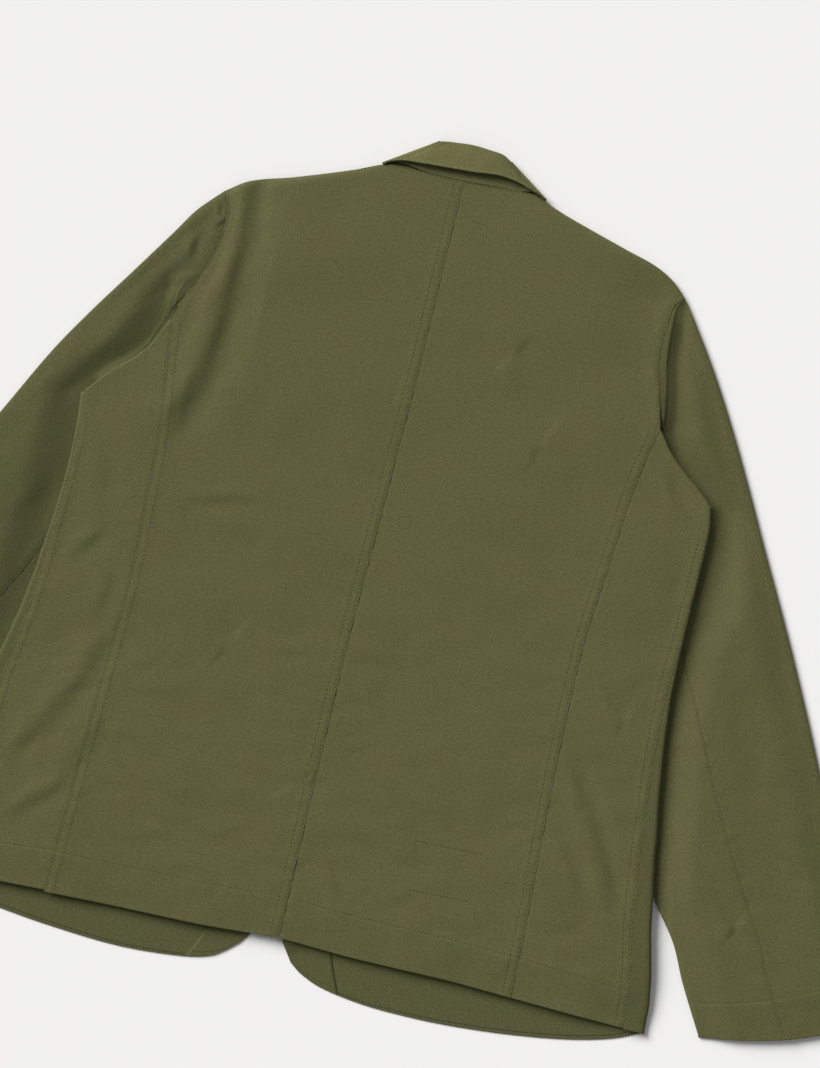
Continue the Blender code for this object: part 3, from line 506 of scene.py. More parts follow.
def withReach(creases):   # each crease with its length and the box that it touches
    ready = []
    for run, halfWidth, depth in creases:
        margin = 2.6 * halfWidth
        acrosses = [point[0] for point in run]
        downs = [point[1] for point in run]
        length = sum(math.dist(run[i], run[i + 1]) for i in range(len(run) - 1))
        box = [min(acrosses) - margin, max(acrosses) + margin]
        box += [min(downs) - margin, max(downs) + margin]
        ready.append((run, halfWidth, depth, length, box))
    return ready


bodyFolds = withReach(bodyCreases)
sleeveFolds = withReach(sleeveCreases)


def creaseDepth(creases, across, down):   # below 0 where the creases lower the cloth
    total = 0.0
    wobble = 1.0 + 0.4 * uneven(across, down, 19.0, 19.0, 7.7)
    for run, halfWidth, depth, length, box in creases:
        if not (box[0] < across < box[1] and box[2] < down < box[3]):
            continue
        nearest, offset, nearestAlong, walked = 1e9, 0.0, 0.0, 0.0
        for index in range(len(run) - 1):
            (ax, ay), (bx, by) = run[index], run[index + 1]
            dx, dy = bx - ax, by - ay
            piece = math.hypot(dx, dy)
            t = ((across - ax) * dx + (down - ay) * dy) / (piece * piece)
            t = min(max(t, 0.0), 1.0)
            ex, ey = across - ax - t * dx, down - ay - t * dy
            distance = math.hypot(ex, ey)
            if distance < nearest:
                shady = math.copysign(1.0, awayFromLight[0] * dy - awayFromLight[1] * dx)
                nearest, nearestAlong = distance, walked + t * piece
                offset = shady * (ex * dy - ey * dx) / piece
            walked += piece
        fade = min(0.42 * length, 36.0)
        ends = ease(nearestAlong / fade) * ease((length - nearestAlong) / fade)
        reach = halfWidth * wobble
        total -= depth * ends * offset / reach * math.exp(0.5 - 0.5 * (nearest / reach) ** 2)
    return total


def wrinkles(across, down, seed):   # fine creases that come and go
    bend = 24.0 * uneven(across, down, 55.0, 55.0, seed)
    line = uneven(across, down + bend, 44.0, 15.0, seed + 2.0)
    shown = ease(2.8 * uneven(across, down, 64.0, 48.0, seed + 4.0) + 0.1)
    return -shown * math.exp(-(line / 0.11) ** 2)


def bodyRelief(across, down):
    broad = 1.1 * uneven(across, down, 88.0, 52.0, 1.7)
    small = 0.42 * uneven(across, down, 30.0, 17.0, 5.1)
    lower = 0.25 + 0.75 * ease((down - 250.0) / 250.0)
    dents = broad + (small + 0.30 * wrinkles(across, down, 9.4)) * lower
    return creaseDepth(bodyFolds, across, down) + cloth["crumple"] * dents


def sleeveRelief(across, down):
    broad = 0.9 * uneven(across, down, 70.0, 60.0, 3.3)
    small = 0.30 * uneven(across, down, 22.0, 19.0, 8.2)
    dents = broad + small + 0.22 * wrinkles(across, down, 5.6)
    return creaseDepth(sleeveFolds, across, down) + cloth["crumple"] * dents


def puckers(along, away, seed):   # the little waves that stitching pulls into the cloth
    wave = felled["pucker"] * uneven(along, away, felled["puckerRun"], 11.0, seed)
    return wave * math.exp(-max(away, 0.0) / 7.0)


def grooveAt(distance, width):
    return math.exp(-(distance / width) ** 2)


def felledSeam(away, along, seed):   # relief of the upper side of a felled seam
    if away >= felled["reach"]:
        return 0.0
    rise = felled["rise"] * roundOff(away, 0.6) * ease((felled["width"] + 5.0 - away) / 8.0)
    groove = grooveAt(away - felled["nearRow"], 0.55)
    groove += felled["farShare"] * grooveAt(away - felled["farRow"], 0.55)
    return rise - felled["groove"] * groove + puckers(along, away - felled["farRow"], seed)


def besideSeam(away, along, seed):   # and of the cloth that meets it
    if away >= felled["reach"]:
        return 0.0
    return puckers(along, away, seed) - 0.15 * math.exp(-away / 1.2)


def hemRelief(fromHem, along, depth, seed):   # a step at its stitches and a round edge
    step = turnUp["step"] * ease((depth + 0.3 - fromHem) / turnUp["stepRun"])
    slope = turnUp["slope"] * max(0.0, 1.0 - fromHem / depth)
    groove = turnUp["groove"] * grooveAt(fromHem - depth + 1.0, turnUp["grooveWidth"])
    pulled = 0.5 * puckers(along, abs(fromHem - depth), seed)
    roundEdge = turnUp["edge"] * (1.0 - roundOff(fromHem, 0.9))
    wave = turnUp["wave"] * uneven(along, seed, 34.0, 1.0, 2.2) * ease(1.0 - fromHem / 30.0)
    return step - slope - groove + pulled - roundEdge + wave


# Cloth.

def newPiece(name, shape, finish):   # an object of a bmesh, which it frees
    mesh = bpy.data.meshes.new(name)
    shape.to_mesh(mesh)
    shape.free()
    mesh.materials.append(finish)
    piece = bpy.data.objects.new(name, mesh)
    bpy.context.scene.collection.objects.link(piece)
    return piece


def clothSheet(name, columns, rows, point, looking, finish, wall=cloth["wall"], above=0.0):
    # point(column, row) gives across, down, height and the flat place across and along the
    # grain. looking is 1 where the outer face looks up in what lies above the given height.
    # wall is the thickness, or gives it for a column and a row.
    grid = bmesh.new()
    bmesh.ops.create_grid(grid, x_segments=len(columns) - 1, y_segments=len(rows) - 1, size=1.0)
    group = grid.verts.layers.deform.verify()
    weave = grid.loops.layers.uv.new("weave")
    walls = {}
    flat = {}
    for vert in grid.verts:
        column = columns[round((vert.co.x + 1.0) / 2.0 * (len(columns) - 1))]
        row = rows[round((vert.co.y + 1.0) / 2.0 * (len(rows) - 1))]
        across, down, height, u, v = point(column, row)
        walls[vert] = wall(column, row) if callable(wall) else wall
        flat[vert] = (u * mm, v * mm)
        vert.co = place(across, down, height)
    thickest = max(walls.values())
    for vert in grid.verts:
        vert[group][0] = walls[vert] / thickest
    for face in grid.faces:
        face.smooth = True
        for loop in face.loops:
            loop[weave].uv = flat[loop.vert]
    upward = 0.0
    for face in grid.faces:
        face.normal_update()
        if face.calc_center_median().z >= above * mm:
            upward += face.normal.z * face.calc_area()
    if upward * looking < 0:
        bmesh.ops.reverse_faces(grid, faces=grid.faces)
    panel = newPiece(name, grid, finish)
    panel.vertex_groups.new(name="wall")
    shell = panel.modifiers.new("wall", "SOLIDIFY")
    shell.thickness = thickest * mm
    shell.offset = -1.0
    shell.vertex_group = "wall"
    return panel


def edged(offsets, inset, count):
    # Columns or rows from one seam to the next, as share and distance from the nearer seam:
    # close together beside both, evenly spread between them.
    near = [(0.0, offset) for offset in offsets]
    far = [(1.0, offset) for offset in reversed(offsets)]
    return near + [(share, inset) for share in [0.0] + spread(0.0, 1.0, count)] + far


def shareAt(entry, length):
    share, offset = entry
    return share + (1.0 - 2.0 * share) * offset / length


seamOffsets = [0.0, 0.3, 0.6, 1.1, 1.7, 2.3, 3.2, 4.6, 6.2, 7.5, 8.0, 8.6, 9.2, 10.0, 11.0]


def backOuter(side, row):
    if row <= 1.0:
        down = mix(side["shoulder"], side["junction"], row)
        return read(side["armhole"], down), down
    down = mix(side["junction"], side["backSeam"][-1][0], row - 1.0)
    return read(side["backSeam"], down), down


def backPlace(side, entry, row):   # across, down, distance to the centre and outer seams
    sign = side["sign"]
    outEnd, downEnd = backOuter(side, row)
    if row <= 1.0:
        centreDown = body["centreAtUnderarm"] * row
    else:
        centreDown = mix(body["centreAtUnderarm"], body["backLength"], row - 1.0)
    gap = cloth["seamGap"] / 2.0
    start = read(centreSeam, centreDown) + sign * gap
    end = sign * (outEnd - gap)
    width = abs(end - start)
    share = shareAt(entry, width)
    across = mix(start, end, share)
    down = mix(centreDown, downEnd, share)
    topEnd, topDown = backOuter(side, 0.0)
    topAcross = mix(read(centreSeam, 0.0), sign * topEnd, share)
    down += (read(topLine, topAcross) - mix(0.0, topDown, share)) * (1.0 - min(row, 1.0))
    hemEnd, hemDown = backOuter(side, 2.0)
    hemAcross = mix(read(centreSeam, body["backLength"]), sign * hemEnd, share)
    hemBow = read(hemLine, hemAcross) - mix(body["backLength"], hemDown, share)
    down += hemBow * max(row - 1.0, 0.0) ** 3
    return across, down, share * width, (1.0 - share) * width


def lowerLength(side):
    return body["backLength"] - side["junction"]


def lowerRows(side, step):   # 0 at the level of the underarm, 1 at the hem
    length = lowerLength(side)
    depth = body["hemDepth"]
    hem = [depth + beyond for beyond in (2.4, 1.0, 0.3, -0.3, -1.0, -1.8, -3.5)]
    hem += spread(depth - 3.5, 6.0, 8) + [3.2, 1.6, 0.9, 0.6, 0.35, 0.15, 0.0]
    rows = [0.0] + between(0.0, 1.0 - (depth + 5.0) / length, round((length - depth) / step))
    return rows + [1.0 - fromHem / length for fromHem in hem]


def backSurface(side, entry, row):
    across, down, fromCentre, fromOuter = backPlace(side, entry, row)
    height = backHeight(across, down)
    seed = 2.0 * side["sign"]
    fromHem = (2.0 - row) * lowerLength(side)
    centre = felledSeam if side["sign"] < 0 else besideSeam
    relief = centre(fromCentre, down, 0.5) + felledSeam(fromOuter, down, seed)
    if fromHem < turnUp["hemReach"]:
        relief += hemRelief(fromHem, across, body["hemDepth"], 3.0)
    relief *= ease((down - read(topLine, across)) / felled["topRamp"])
    return across, down, height + relief


def makeBack(name, side, finish):
    columns = edged(seamOffsets[:-1], seamOffsets[-1], round(200.0 / body["gridStep"]))
    high = side["junction"] - side["shoulder"]
    rows = [offset / high for offset in [0.0, 0.15, 0.4, 0.8, 1.4, 2.2, 3.3, 4.8, 6.5, 8.5]]
    rows += between(8.5 / high, 1.0, round(high / body["gridStep"]))
    rows += [1.0 + row for row in lowerRows(side, body["gridStep"])]

    def point(column, row):
        across, down, height = backSurface(side, column, row)
        return across, down, height, across, down

    def wall(column, row):
        turned = (2.0 - row) * lowerLength(side) < body["hemDepth"]
        return cloth["hemWall"] if turned else cloth["wall"]

    return clothSheet("back_" + name, columns, rows, point, 1, finish, wall)


def headLevel(side, out):
    return read([(row[1], row[0]) for row in side["panelTop"]], out)


def sideSurface(side, entry, row):
    # entry is a share from the back seam to the side-front seam and a distance from the
    # nearer. Gives out, down, height and the flat place across the grain.
    sign = side["sign"]
    gap = cloth["seamGap"] / 2.0
    innerOut, innerDown = backOuter(side, 1.0 + row)
    innerOut += gap
    level = mix(side["underarm"], side["fold"][-1][0], row)
    edge = foldEdge(side, level) - lie["foldHeight"] / 2.0
    reach = edge - innerOut + foldTurn
    end = read(sideFrontWrap, row) + gap
    share = shareAt(entry, reach - end)
    roundFold = mix(reach, end, share)
    out, height = foldPoint(side, level, roundFold)
    flat = min((out - innerOut) / (edge - innerOut), 1.0)
    down = mix(innerDown, level, flat)
    head = headLevel(side, out) - mix(side["junction"], side["underarm"], flat)
    down += head * (1.0 - row) ** 2 * math.sin(math.pi * max(flat, 0.0)) ** 0.5
    if roundFold > foldTurn:
        height = backHeight(sign * out, down)
    fromBack = share * (reach - end)
    fromFront = (1.0 - share) * (reach - end)
    fromHem = (1.0 - row) * lowerLength(side)
    onTop = ease((roundFold - 2.0) / 4.0)
    relief = besideSeam(fromBack, down, 2.0 * sign)
    relief += felledSeam(fromFront, down, 2.0 * sign + 1.0) * onTop
    if fromHem < turnUp["hemReach"]:
        hem = hemRelief(fromHem, sign * out, body["hemDepth"], 3.0)
        relief += hem * ease((roundFold - foldTurn) / 5.0)
    return out, down, height + relief, reach - roundFold + innerOut


def makeSide(name, side, finish):
    columns = edged(seamOffsets[:-1], seamOffsets[-1], round(90.0 / body["gridStep"]))
    rows = lowerRows(side, body["gridStep"])

    def point(column, row):
        out, down, height, flatOut = sideSurface(side, column, row)
        return side["sign"] * out, down, height, side["sign"] * flatOut, down

    def wall(column, row):
        turned = (1.0 - row) * lowerLength(side) < body["hemDepth"]
        return cloth["hemWall"] if turned and column[1] > 1.0 else cloth["wall"]

    return clothSheet("side_" + name, columns, rows, point, 1, finish, wall)


def frontOuter(side, row):
    gap = cloth["seamGap"]
    if row <= 1.0:
        down = mix(side["shoulder"], side["junction"], row)
        return read(side["armhole"], down) - gap, down
    if row < 2.0:
        down = mix(side["junction"], side["underarm"], row - 1.0)
        return read(side["panelTop"], down) - gap, down
    level = mix(side["underarm"], side["fold"][-1][0], row - 2.0)
    return foldPoint(side, level, -foldTurn)[0], level


def frontPoint(side, column, row):
    # Columns 0 to 1 go round the side fold from its seam, 1 to 2 across to the front edge.
    outEnd, level = frontOuter(side, row)
    if column < 1.0 and row >= 2.0:
        start = read(sideFrontWrap, row - 2.0) - cloth["seamGap"] / 2.0
        out, height = foldPoint(side, level, mix(start, -foldTurn, column))
        return out, level, height
    if row < 2.0:
        outEnd -= 4.0 * min(column, 1.0)
    share = max(column - 1.0, 0.0)
    edgeTop, edgeEnd = side["frontEdge"][0], side["frontEdge"][-1]
    innerDown = mix(edgeTop[0], edgeEnd[0], row / 3.0)
    out = mix(outEnd, read(side["frontEdge"], innerDown), share)
    down = mix(level, innerDown, share)
    shoulderOut = mix(side["armhole"][0][1], edgeTop[1], share)
    bow = read(topLine, side["sign"] * shoulderOut) - mix(side["shoulder"], edgeTop[0], share)
    down += bow * max(1.0 - row, 0.0)
    foldDown, foldOut = side["fold"][-1]
    hemOut = mix(foldOut, edgeEnd[1], share)
    hemBow = read(side["frontHem"], hemOut) - mix(foldDown, edgeEnd[0], share)
    down += hemBow * max(row - 2.0, 0.0) ** 3
    rounding = roundOff(down - read(topLine, side["sign"] * out), lie["shoulderFold"])
    edgeHeight = (lie["shoulderMiddle"] - lie["shoulderParting"]) * (1.0 - rounding)
    return out, down, max(frontHeight(side, out, down), edgeHeight)


def frontColumns():
    around = [0.0, 0.02, 0.05, 0.1, 0.2, 0.35, 0.5, 0.65, 0.8, 0.92, 1.0]
    across = spread(1.0, facing["begins"], 60) + spread(facing["begins"], 1.99, 16)
    return around + across + [1.994, 1.998, 2.0]


def frontRows(side):
    high = side["junction"] - side["shoulder"]
    rows = [offset / high for offset in [0.0, 0.3, 1.0, 2.2, 4.0, 6.5, 10.0]]
    rows += between(10.0 / high, 1.0, 20) + [1.0] + between(1.0, 2.0, 12) + [2.0]
    rows += spread(2.0, 2.9, 90) + spread(2.9, 2.99, 24)
    return rows + [2.993, 2.996, 2.9985, 3.0]


def makeFront(name, side, finish):

    def point(column, row):
        out, down, height = frontPoint(side, column, row)
        across = side["sign"] * out
        return across, down, max(height, 0.0), across + weaveStart["front"], down

    return clothSheet("front_" + name, frontColumns(), frontRows(side), point, -1, finish)


def facingSurface(side, column, row):   # the facing's upper side, from the front's own place
    out, down, height = frontPoint(side, column, row)
    height += cloth["wall"] + facing["gap"] + facing["wall"]
    height += facing["hemRise"] * ease((row - facing["hemRiseFrom"]) / facing["hemRiseRun"])
    return side["sign"] * out, down, height


def makeFacing(name, side, finish):
    columns = [column for column in frontColumns() if column > facing["begins"] - 0.001]
    start = 3.0 * (lie["breakDown"] + facing["belowBreak"]) / side["frontEdge"][-1][0]
    rows = [row for row in frontRows(side) if row > start]

    def point(column, row):
        column, row = min(column, 2.0 - facing["inset"]), min(row, 3.0 - facing["inset"])
        across, down, height = facingSurface(side, column, row)
        return across, down, height, across - weaveStart["front"], down

    return clothSheet("facing_" + name, columns, rows, point, 1, finish, facing["wall"])


# Sleeves.

def sleeveEnd(side, share):
    down = mix(side["shoulder"], side["armhole"][-1][0], share)
    return read(side["armhole"], down), down


def sleevePlace(side, acrossShare, along):   # out, down and the sleeve's width there
    outerDown = mix(side["shoulder"], side["sleeveOuter"][-1][0], along)
    innerDown = mix(side["sleeveInner"][0][0], side["sleeveInner"][-1][0], along)
    outer = (read(side["sleeveOuter"], outerDown), outerDown)
    inner = (read(side["sleeveInner"], innerDown), innerDown)
    width = math.dist(outer, inner)
    start, end = sleeveEnd(side, 0.0), sleeveEnd(side, 1.0)
    sewn = sleeveEnd(side, acrossShare)
    spot = []
    for axis in (0, 1):
        bow = sewn[axis] - mix(start[axis], end[axis], acrossShare)
        cuffBow = sleeve["cuffBow"][axis] * math.sin(math.pi * acrossShare)
        base = mix(outer[axis], inner[axis], acrossShare)
        spot.append(base + bow * (1.0 - along) + cuffBow * along ** 2)
    return spot[0], spot[1], width


def sleeveLength(side):
    lines = (side["sleeveOuter"], side["sleeveInner"])
    return sum(math.dist(line[0], line[-1]) for line in lines) / 2.0


def sleeveRows(side):
    length = sleeveLength(side)
    depth = sleeve["cuffDepth"]
    rows = [0.0] + [offset / length for offset in [0.5, 1.2] + spread(1.2, 15.0, 15)]
    rows += between(15.0 / length, 1.0 - (depth + 4.0) / length, round(length / sleeve["gridStep"]))
    cuff = [depth + beyond for beyond in (2.0, 0.8, 0.2, -0.5, -1.2, -2.2)]
    cuff += spread(depth - 2.2, 5.0, 10) + [3.0, 1.5, 0.9, 0.5, 0.2, 0.0]
    return rows + [1.0 - fromCuff / length for fromCuff in cuff]


def sleeveSurface(side, layer, moved, along):   # layer 1 is on top and -1 on the floor
    out, down, width = sleevePlace(side, moved, along)
    if along == 0.0:
        out += cloth["seamGap"] / 2.0
    fromEdge = min(moved, 1.0 - moved) * width
    rounding = roundOff(fromEdge, sleeve["edge"])
    middle = mix(sleeve["underBody"] / 2.0, lie["shoulderMiddle"], ease(1.0 - along * 6.0))
    across = side["sign"] * out
    if layer < 0:
        lowest = cloth["wall"] * ease(1.0 - along * 50.0)
        return across, down, max(middle * (1.0 - rounding), lowest)
    past = out - bodyEdge(side, down)
    if down < side["junction"]:
        past -= read(side["strip"], down)
    free = ease((past - read(side["hollow"], down)) / sleeve["valleyRun"])
    low = mix(sleeve["valley"], sleeve["underBody"], ease(-past / sleeve["underRun"]))
    full = mix(low, sleeve["crown"], free)
    full = mix(min(full, sleeve["edgeHeight"]), full, ease(fromEdge / sleeve["edgeRun"]))
    creased = ease((past + sleeve["creaseLead"]) / sleeve["creaseRun"])
    if down < side["armhole"][-1][0]:
        step = read(side["stripStep"], down)
        crisp = sleeve["crisp"] * ease((sleeve["crispBelow"] - step) / sleeve["crispRamp"])
        dropped = mix(ease(past / step), ease(past / sleeve["crispRun"]), crisp)
        full = mix(read(sleeveEndHeightTable, down), full, dropped)
        creased = mix(creased, 1.0, ease((step - 15.0) / 15.0))
    full += sleeveRelief(across, down) * creased * ease((fromEdge - 1.0) / 12.0)
    fromCuff = (1.0 - along) * sleeveLength(side)
    if fromCuff < turnUp["cuffReach"]:
        full += hemRelief(fromCuff, moved * width, sleeve["cuffDepth"], 6.0)
    if down < side["junction"]:
        full += besideSeam(along * sleeveLength(side), down, side["sign"] * 5.0)
    return across, down, mix(middle, full, rounding)


edgeOffsets = [0.0, 0.1, 0.3, 0.6, 1.0, 1.6, 2.4, 3.4, 4.6, 6.2, 8.2, 11.0]


def sleeveTop(side, piece, entry, along):
    # entry is a share and a distance: on the upper piece from the outer edge to the back
    # seam, on the under piece from that seam to the inner edge.
    here = side["backSeamShare"] + read(side["sleeveSeam"], along)
    width = sleevePlace(side, 0.5, along)[2]
    gap = cloth["seamGap"] / 2.0 / width
    if piece == "upper":
        share = shareAt(entry, here * width)
        moved = share * (here - gap)
        fromSeam = (1.0 - share) * here * width
        seamRelief = felledSeam
    else:
        share = shareAt(entry, (1.0 - here) * width)
        moved = mix(here + gap, 1.0, share)
        fromSeam = share * (1.0 - here) * width
        seamRelief = besideSeam
    across, down, height = sleeveSurface(side, 1, moved, along)
    lengthways = along * sleeveLength(side)
    height += seamRelief(fromSeam, lengthways, 7.0 * side["sign"]) * ease(along * 30.0)
    return across, down, height, moved * width, lengthways


def makeSleeve(name, side, piece, finish):
    width = sleeve["usualWidth"]
    count = round(width / 2.0 / sleeve["gridStep"])
    columns = [(1, entry) for entry in edged(edgeOffsets, 13.0, count)]
    seamShare = sleeve["frontSeamShare"]
    if piece == "upper":
        columns.reverse()
        columns += [(-1, offset / width) for offset in edgeOffsets[1:]]
        columns += [(-1, share) for share in spread(13.0 / width, seamShare - 0.002, 40)]
    else:
        columns += [(-1, 1.0 - offset / width) for offset in edgeOffsets[1:]]
        columns += [(-1, share) for share in spread(1.0 - 11.0 / width, seamShare + 0.002, 10)[1:]]

    def point(column, along):
        layer, entry = column
        if layer > 0:
            across, down, height, flatAcross, flatAlong = sleeveTop(side, piece, entry, along)
        else:
            across, down, height = sleeveSurface(side, -1, entry, along)
            wide = sleevePlace(side, entry, along)[2]
            flatAcross = -entry * wide if piece == "upper" else (2.0 - entry) * wide
            flatAlong = along * sleeveLength(side)
        flatAcross += weaveStart["sleeve"] * side["sign"]
        return across, down, max(height, 0.0), flatAcross, flatAlong

    def wall(column, along):
        turned = (1.0 - along) * sleeveLength(side) < sleeve["cuffDepth"]
        return cloth["hemWall"] if turned else cloth["wall"]

    name = "sleeve_" + piece + "_" + name
    above = sleeve["topAbove"]
    return clothSheet(name, columns, sleeveRows(side), point, 1, finish, wall, above)


# Lapels and collar.

def makeLapel(name, side, finish):
    sign = side["sign"]
    gorge, tip = 46.0, side["lapelEdge"][0]

    def point(column, row):
        rollDown = mix(gorge, lie["breakDown"] - 6.0, row)
        edgeDown = mix(tip[0], lie["breakDown"], row)
        start = read(side["frontEdge"], rollDown) + cloth["seamGap"]
        out = mix(start, read(side["lapelEdge"], edgeDown), column)
        down = mix(rollDown, edgeDown, column)
        height = lie["lapelOverLeft"] * lapped(side, out, down, lie["lapelLead"])
        return sign * out, down, height, sign * out + weaveStart["lapel"], down

    columns = [0.0] + spread(0.0, 0.97, 24) + [0.985, 1.0]
    rows = [0.0] + spread(0.0, 1.0, 60)
    return clothSheet("lapel_" + name, columns, rows, point, -1, finish, cloth["collarWall"])


def collarSurface(spec, column, row):
    # column is 0 at the fold and 1 at the edge. row names a part and how far along that is,
    # a share of it, or on a crease the degrees that it has turned.
    part, value = row

    def crease(which, turned):
        fold, edge = spec["crease"][which]
        run = (edge[0] - fold[0], edge[1] - fold[1])
        length = math.hypot(*run)
        inward = (abs(run[1]) / length, abs(run[0]) / length)
        slant = ease((column - 0.5) / 0.5)
        inward = [mix(own, tip, slant) for own, tip in zip(inward, collarRoll["tipInward"])]
        radius = mix(spec["radius"][0], spec["radius"][1], column)
        inset = mix(collarRoll["foldInset"], radius, ease(column / collarRoll["foldShare"]))
        inset *= 1.0 - math.cos(math.radians(turned))
        across = mix(fold[0], edge[0], column) - math.copysign(inward[0] * inset, edge[0])
        down = mix(fold[1], edge[1], column) + inward[1] * inset
        return across, down, spec["bottom"] + radius * (1.0 + math.sin(math.radians(turned)))

    if part.endswith("Crease"):
        return crease(part.replace("Crease", ""), value)
    if part == "middle":
        first, last = crease("left", 90), crease("right", 90)
        across = mix(first[0], last[0], value)
        down, left, right = (
            mix(read(spec["fold"], at), read(spec["edge"], at), column)
            for at in (across, first[0], last[0]))
        end = collarRoll["endShare"]
        down += (first[1] - left) * ease(1.0 - value / end)
        down += (last[1] - right) * ease((value - 1.0 + end) / end)
        arch = math.sin(math.pi * value) ** collarRoll["archPower"]
        atFold, more, bulge = spec["rise"]
        rise = atFold + column * more + math.sin(math.pi * column) * bulge
        return across, down, mix(first[2], last[2], value) + arch * rise
    start = crease(part, -90)
    endFold, endEdge = spec["end"][part]
    across = mix(endFold[0], endEdge[0], column)
    down = mix(endFold[1], endEdge[1], column) + spec["endBow"] * math.sin(math.pi * column)
    return mix(start[0], across, value), mix(start[1], down, value), spec["bottom"]


def collarTop(spec, column, row):   # with its round edges and small dents
    across, down, height = collarSurface(spec, column, row)
    if row[0] == "middle":
        roundEdge = roundOff(column, 0.06) * roundOff(1.0 - column, 0.04)
        fromEnd = min(row[1], 1.0 - row[1])
        drop = collarRoll["edgeDrop"] * (1.0 - roundEdge)
        height -= drop * ease(fromEnd / collarRoll["endRamp"])
        height += collarRoll["lip"] * grooveAt(1.0 - column, collarRoll["lipShare"])
        size = collarRoll["dentSize"]
        height += collarRoll["dent"] * uneven(across, down, size, size, 4.4)
    return across, down, max(height, 0.0)


def makeCollar(name, spec, finish, wall):
    columns = [0.0, 0.01, 0.025, 0.05] + spread(0.05, 0.95, 24)
    columns += [0.965, 0.98, 0.99, 0.997, 1.0]
    rows = [("left", share) for share in [1.0] + between(1.0, 0.0, 14)]
    rows += [("leftCrease", turned) for turned in range(-90, 91, 15)]
    rows += [("middle", share) for share in between(0.0, 1.0, 56)]
    rows += [("rightCrease", turned) for turned in range(90, -91, -15)]
    rows += [("right", share) for share in spread(0.0, 1.0, 14)]

    middles = [Vector(collarTop(spec, 0.5, row)) for row in rows]
    flat = {}
    walked = 0.0
    for index, row in enumerate(rows):
        run = middles[min(index + 1, len(rows) - 1)] - middles[max(index - 1, 0)]
        band = Vector(collarTop(spec, 1.0, row)) - Vector(collarTop(spec, 0.0, row))
        if index:
            walked += (middles[index] - middles[index - 1]).length
        flat[row] = (walked, band.cross(run.normalized()).length)

    def point(column, row):
        across, down, height = collarTop(spec, column, row)
        along, width = flat[row]
        return across, down, height, (column - 0.5) * width + weaveStart["collar"], along

    return clothSheet(name, columns, rows, point, 1, finish, wall, collarRoll["topAbove"])


def makeButton(name, down, finish):
    disc = bmesh.new()
    verts = [disc.verts.new((x * mm, 0.0, z * mm)) for x, z in button["profile"]]
    edges = [disc.edges.new(pair) for pair in zip(verts, verts[1:])]
    bmesh.ops.spin(
        disc, geom=verts + edges, axis=(0, 0, 1), cent=(0, 0, 0), dvec=(0, 0, 0),
        angle=math.tau, steps=48, use_merge=True,
    )
    bmesh.ops.remove_doubles(disc, verts=disc.verts, dist=1e-6)
    bmesh.ops.recalc_face_normals(disc, faces=disc.faces)
    for face in disc.faces:
        face.smooth = True
    bmesh.ops.translate(disc, verts=disc.verts, vec=place(button["across"], down, 0.0))
    return newPiece(name, disc, finish)


# Stitches.

def sewRow(rows, path, pitch):
    # path is a list of pairs: a place on the row and one just beside it, both on the cloth.
    lengths = [0.0]
    for index in range(1, len(path)):
        lengths.append(lengths[-1] + (path[index][0] - path[index - 1][0]).length)
    spacing = pitch * mm
    size = (thread["share"] * spacing, thread["width"] * mm, thread["height"] * mm)
    half = Matrix.Diagonal((*[extent / 2.0 for extent in size], 1.0))
    shape = Matrix.Rotation(thread["twist"], 4, "Z") @ half
    places = []
    index, at = 0, 0.35 * spacing
    while at < lengths[-1] - 0.4 * spacing:
        while lengths[index + 1] < at:
            index += 1
        share = (at - lengths[index]) / (lengths[index + 1] - lengths[index])
        here = path[index][0].lerp(path[index + 1][0], share)
        beside = path[index][1].lerp(path[index + 1][1], share) - here
        ahead = (path[index + 1][0] - path[index][0]).normalized()
        up = ahead.cross(beside).normalized()
        if up.z < 0:
            up.negate()
        turn = Matrix((ahead, up.cross(ahead), up)).transposed().to_4x4()
        places.append(Matrix.Translation(here + up * thread["lift"] * mm) @ turn @ shape)
        shift = noise.noise(Vector((len(places) * 0.7, lengths[-1] * 50.0, 0.0)))
        at += spacing * (1.0 + thread["uneven"] * shift)
    for first in range(0, len(places), thread["batch"]):
        few = bmesh.new()
        for matrix in places[first:first + thread["batch"]]:
            bmesh.ops.create_uvsphere(few, u_segments=6, v_segments=4, radius=1.0, matrix=matrix)
        mesh = bpy.data.meshes.new("few")
        few.to_mesh(mesh)
        few.free()
        rows.from_mesh(mesh)
        bpy.data.meshes.remove(mesh)


def stitchPiece(name, paths, finish, pitch):
    stitches = bmesh.new()
    for path in paths:
        sewRow(stitches, path, pitch)
    for face in stitches.faces:
        face.smooth = True
    piece = newPiece(name, stitches, finish)
    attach(piece, "root")
    return piece


def pathOn(surface, starts):   # surface(start, aside) gives across, down and height
    return [(place(*surface(start, 0.0)[:3]), place(*surface(start, 0.5)[:3])) for start in starts]


def backRow(side, end, offset, first, last, count):   # end 0 is the centre seam, 1 the outer

    def surface(row, aside):
        return backSurface(side, (end, offset + aside), row)

    return pathOn(surface, spread(first, last, count))


def onSide(side, entry, row):
    out, down, height, _ = sideSurface(side, entry, row)
    return side["sign"] * out, down, height


def sideRow(side, offset, first, last, count):   # along the side-front seam

    def surface(row, aside):
        return onSide(side, (1.0, offset + aside), row)

    return pathOn(surface, spread(first, last, count))


def hemRow(side):
    depth = body["hemDepth"] - 1.0
    length = lowerLength(side)

    def acrossBack(share, aside):
        return backSurface(side, (share, 0.0), 2.0 - (depth + aside) / length)

    def acrossSide(share, aside):
        return onSide(side, (share, 0.0), 1.0 - (depth + aside) / length)

    shares = [0.0] + spread(0.0, 1.0, 50)
    return pathOn(acrossBack, shares) + pathOn(acrossSide, shares[1:])


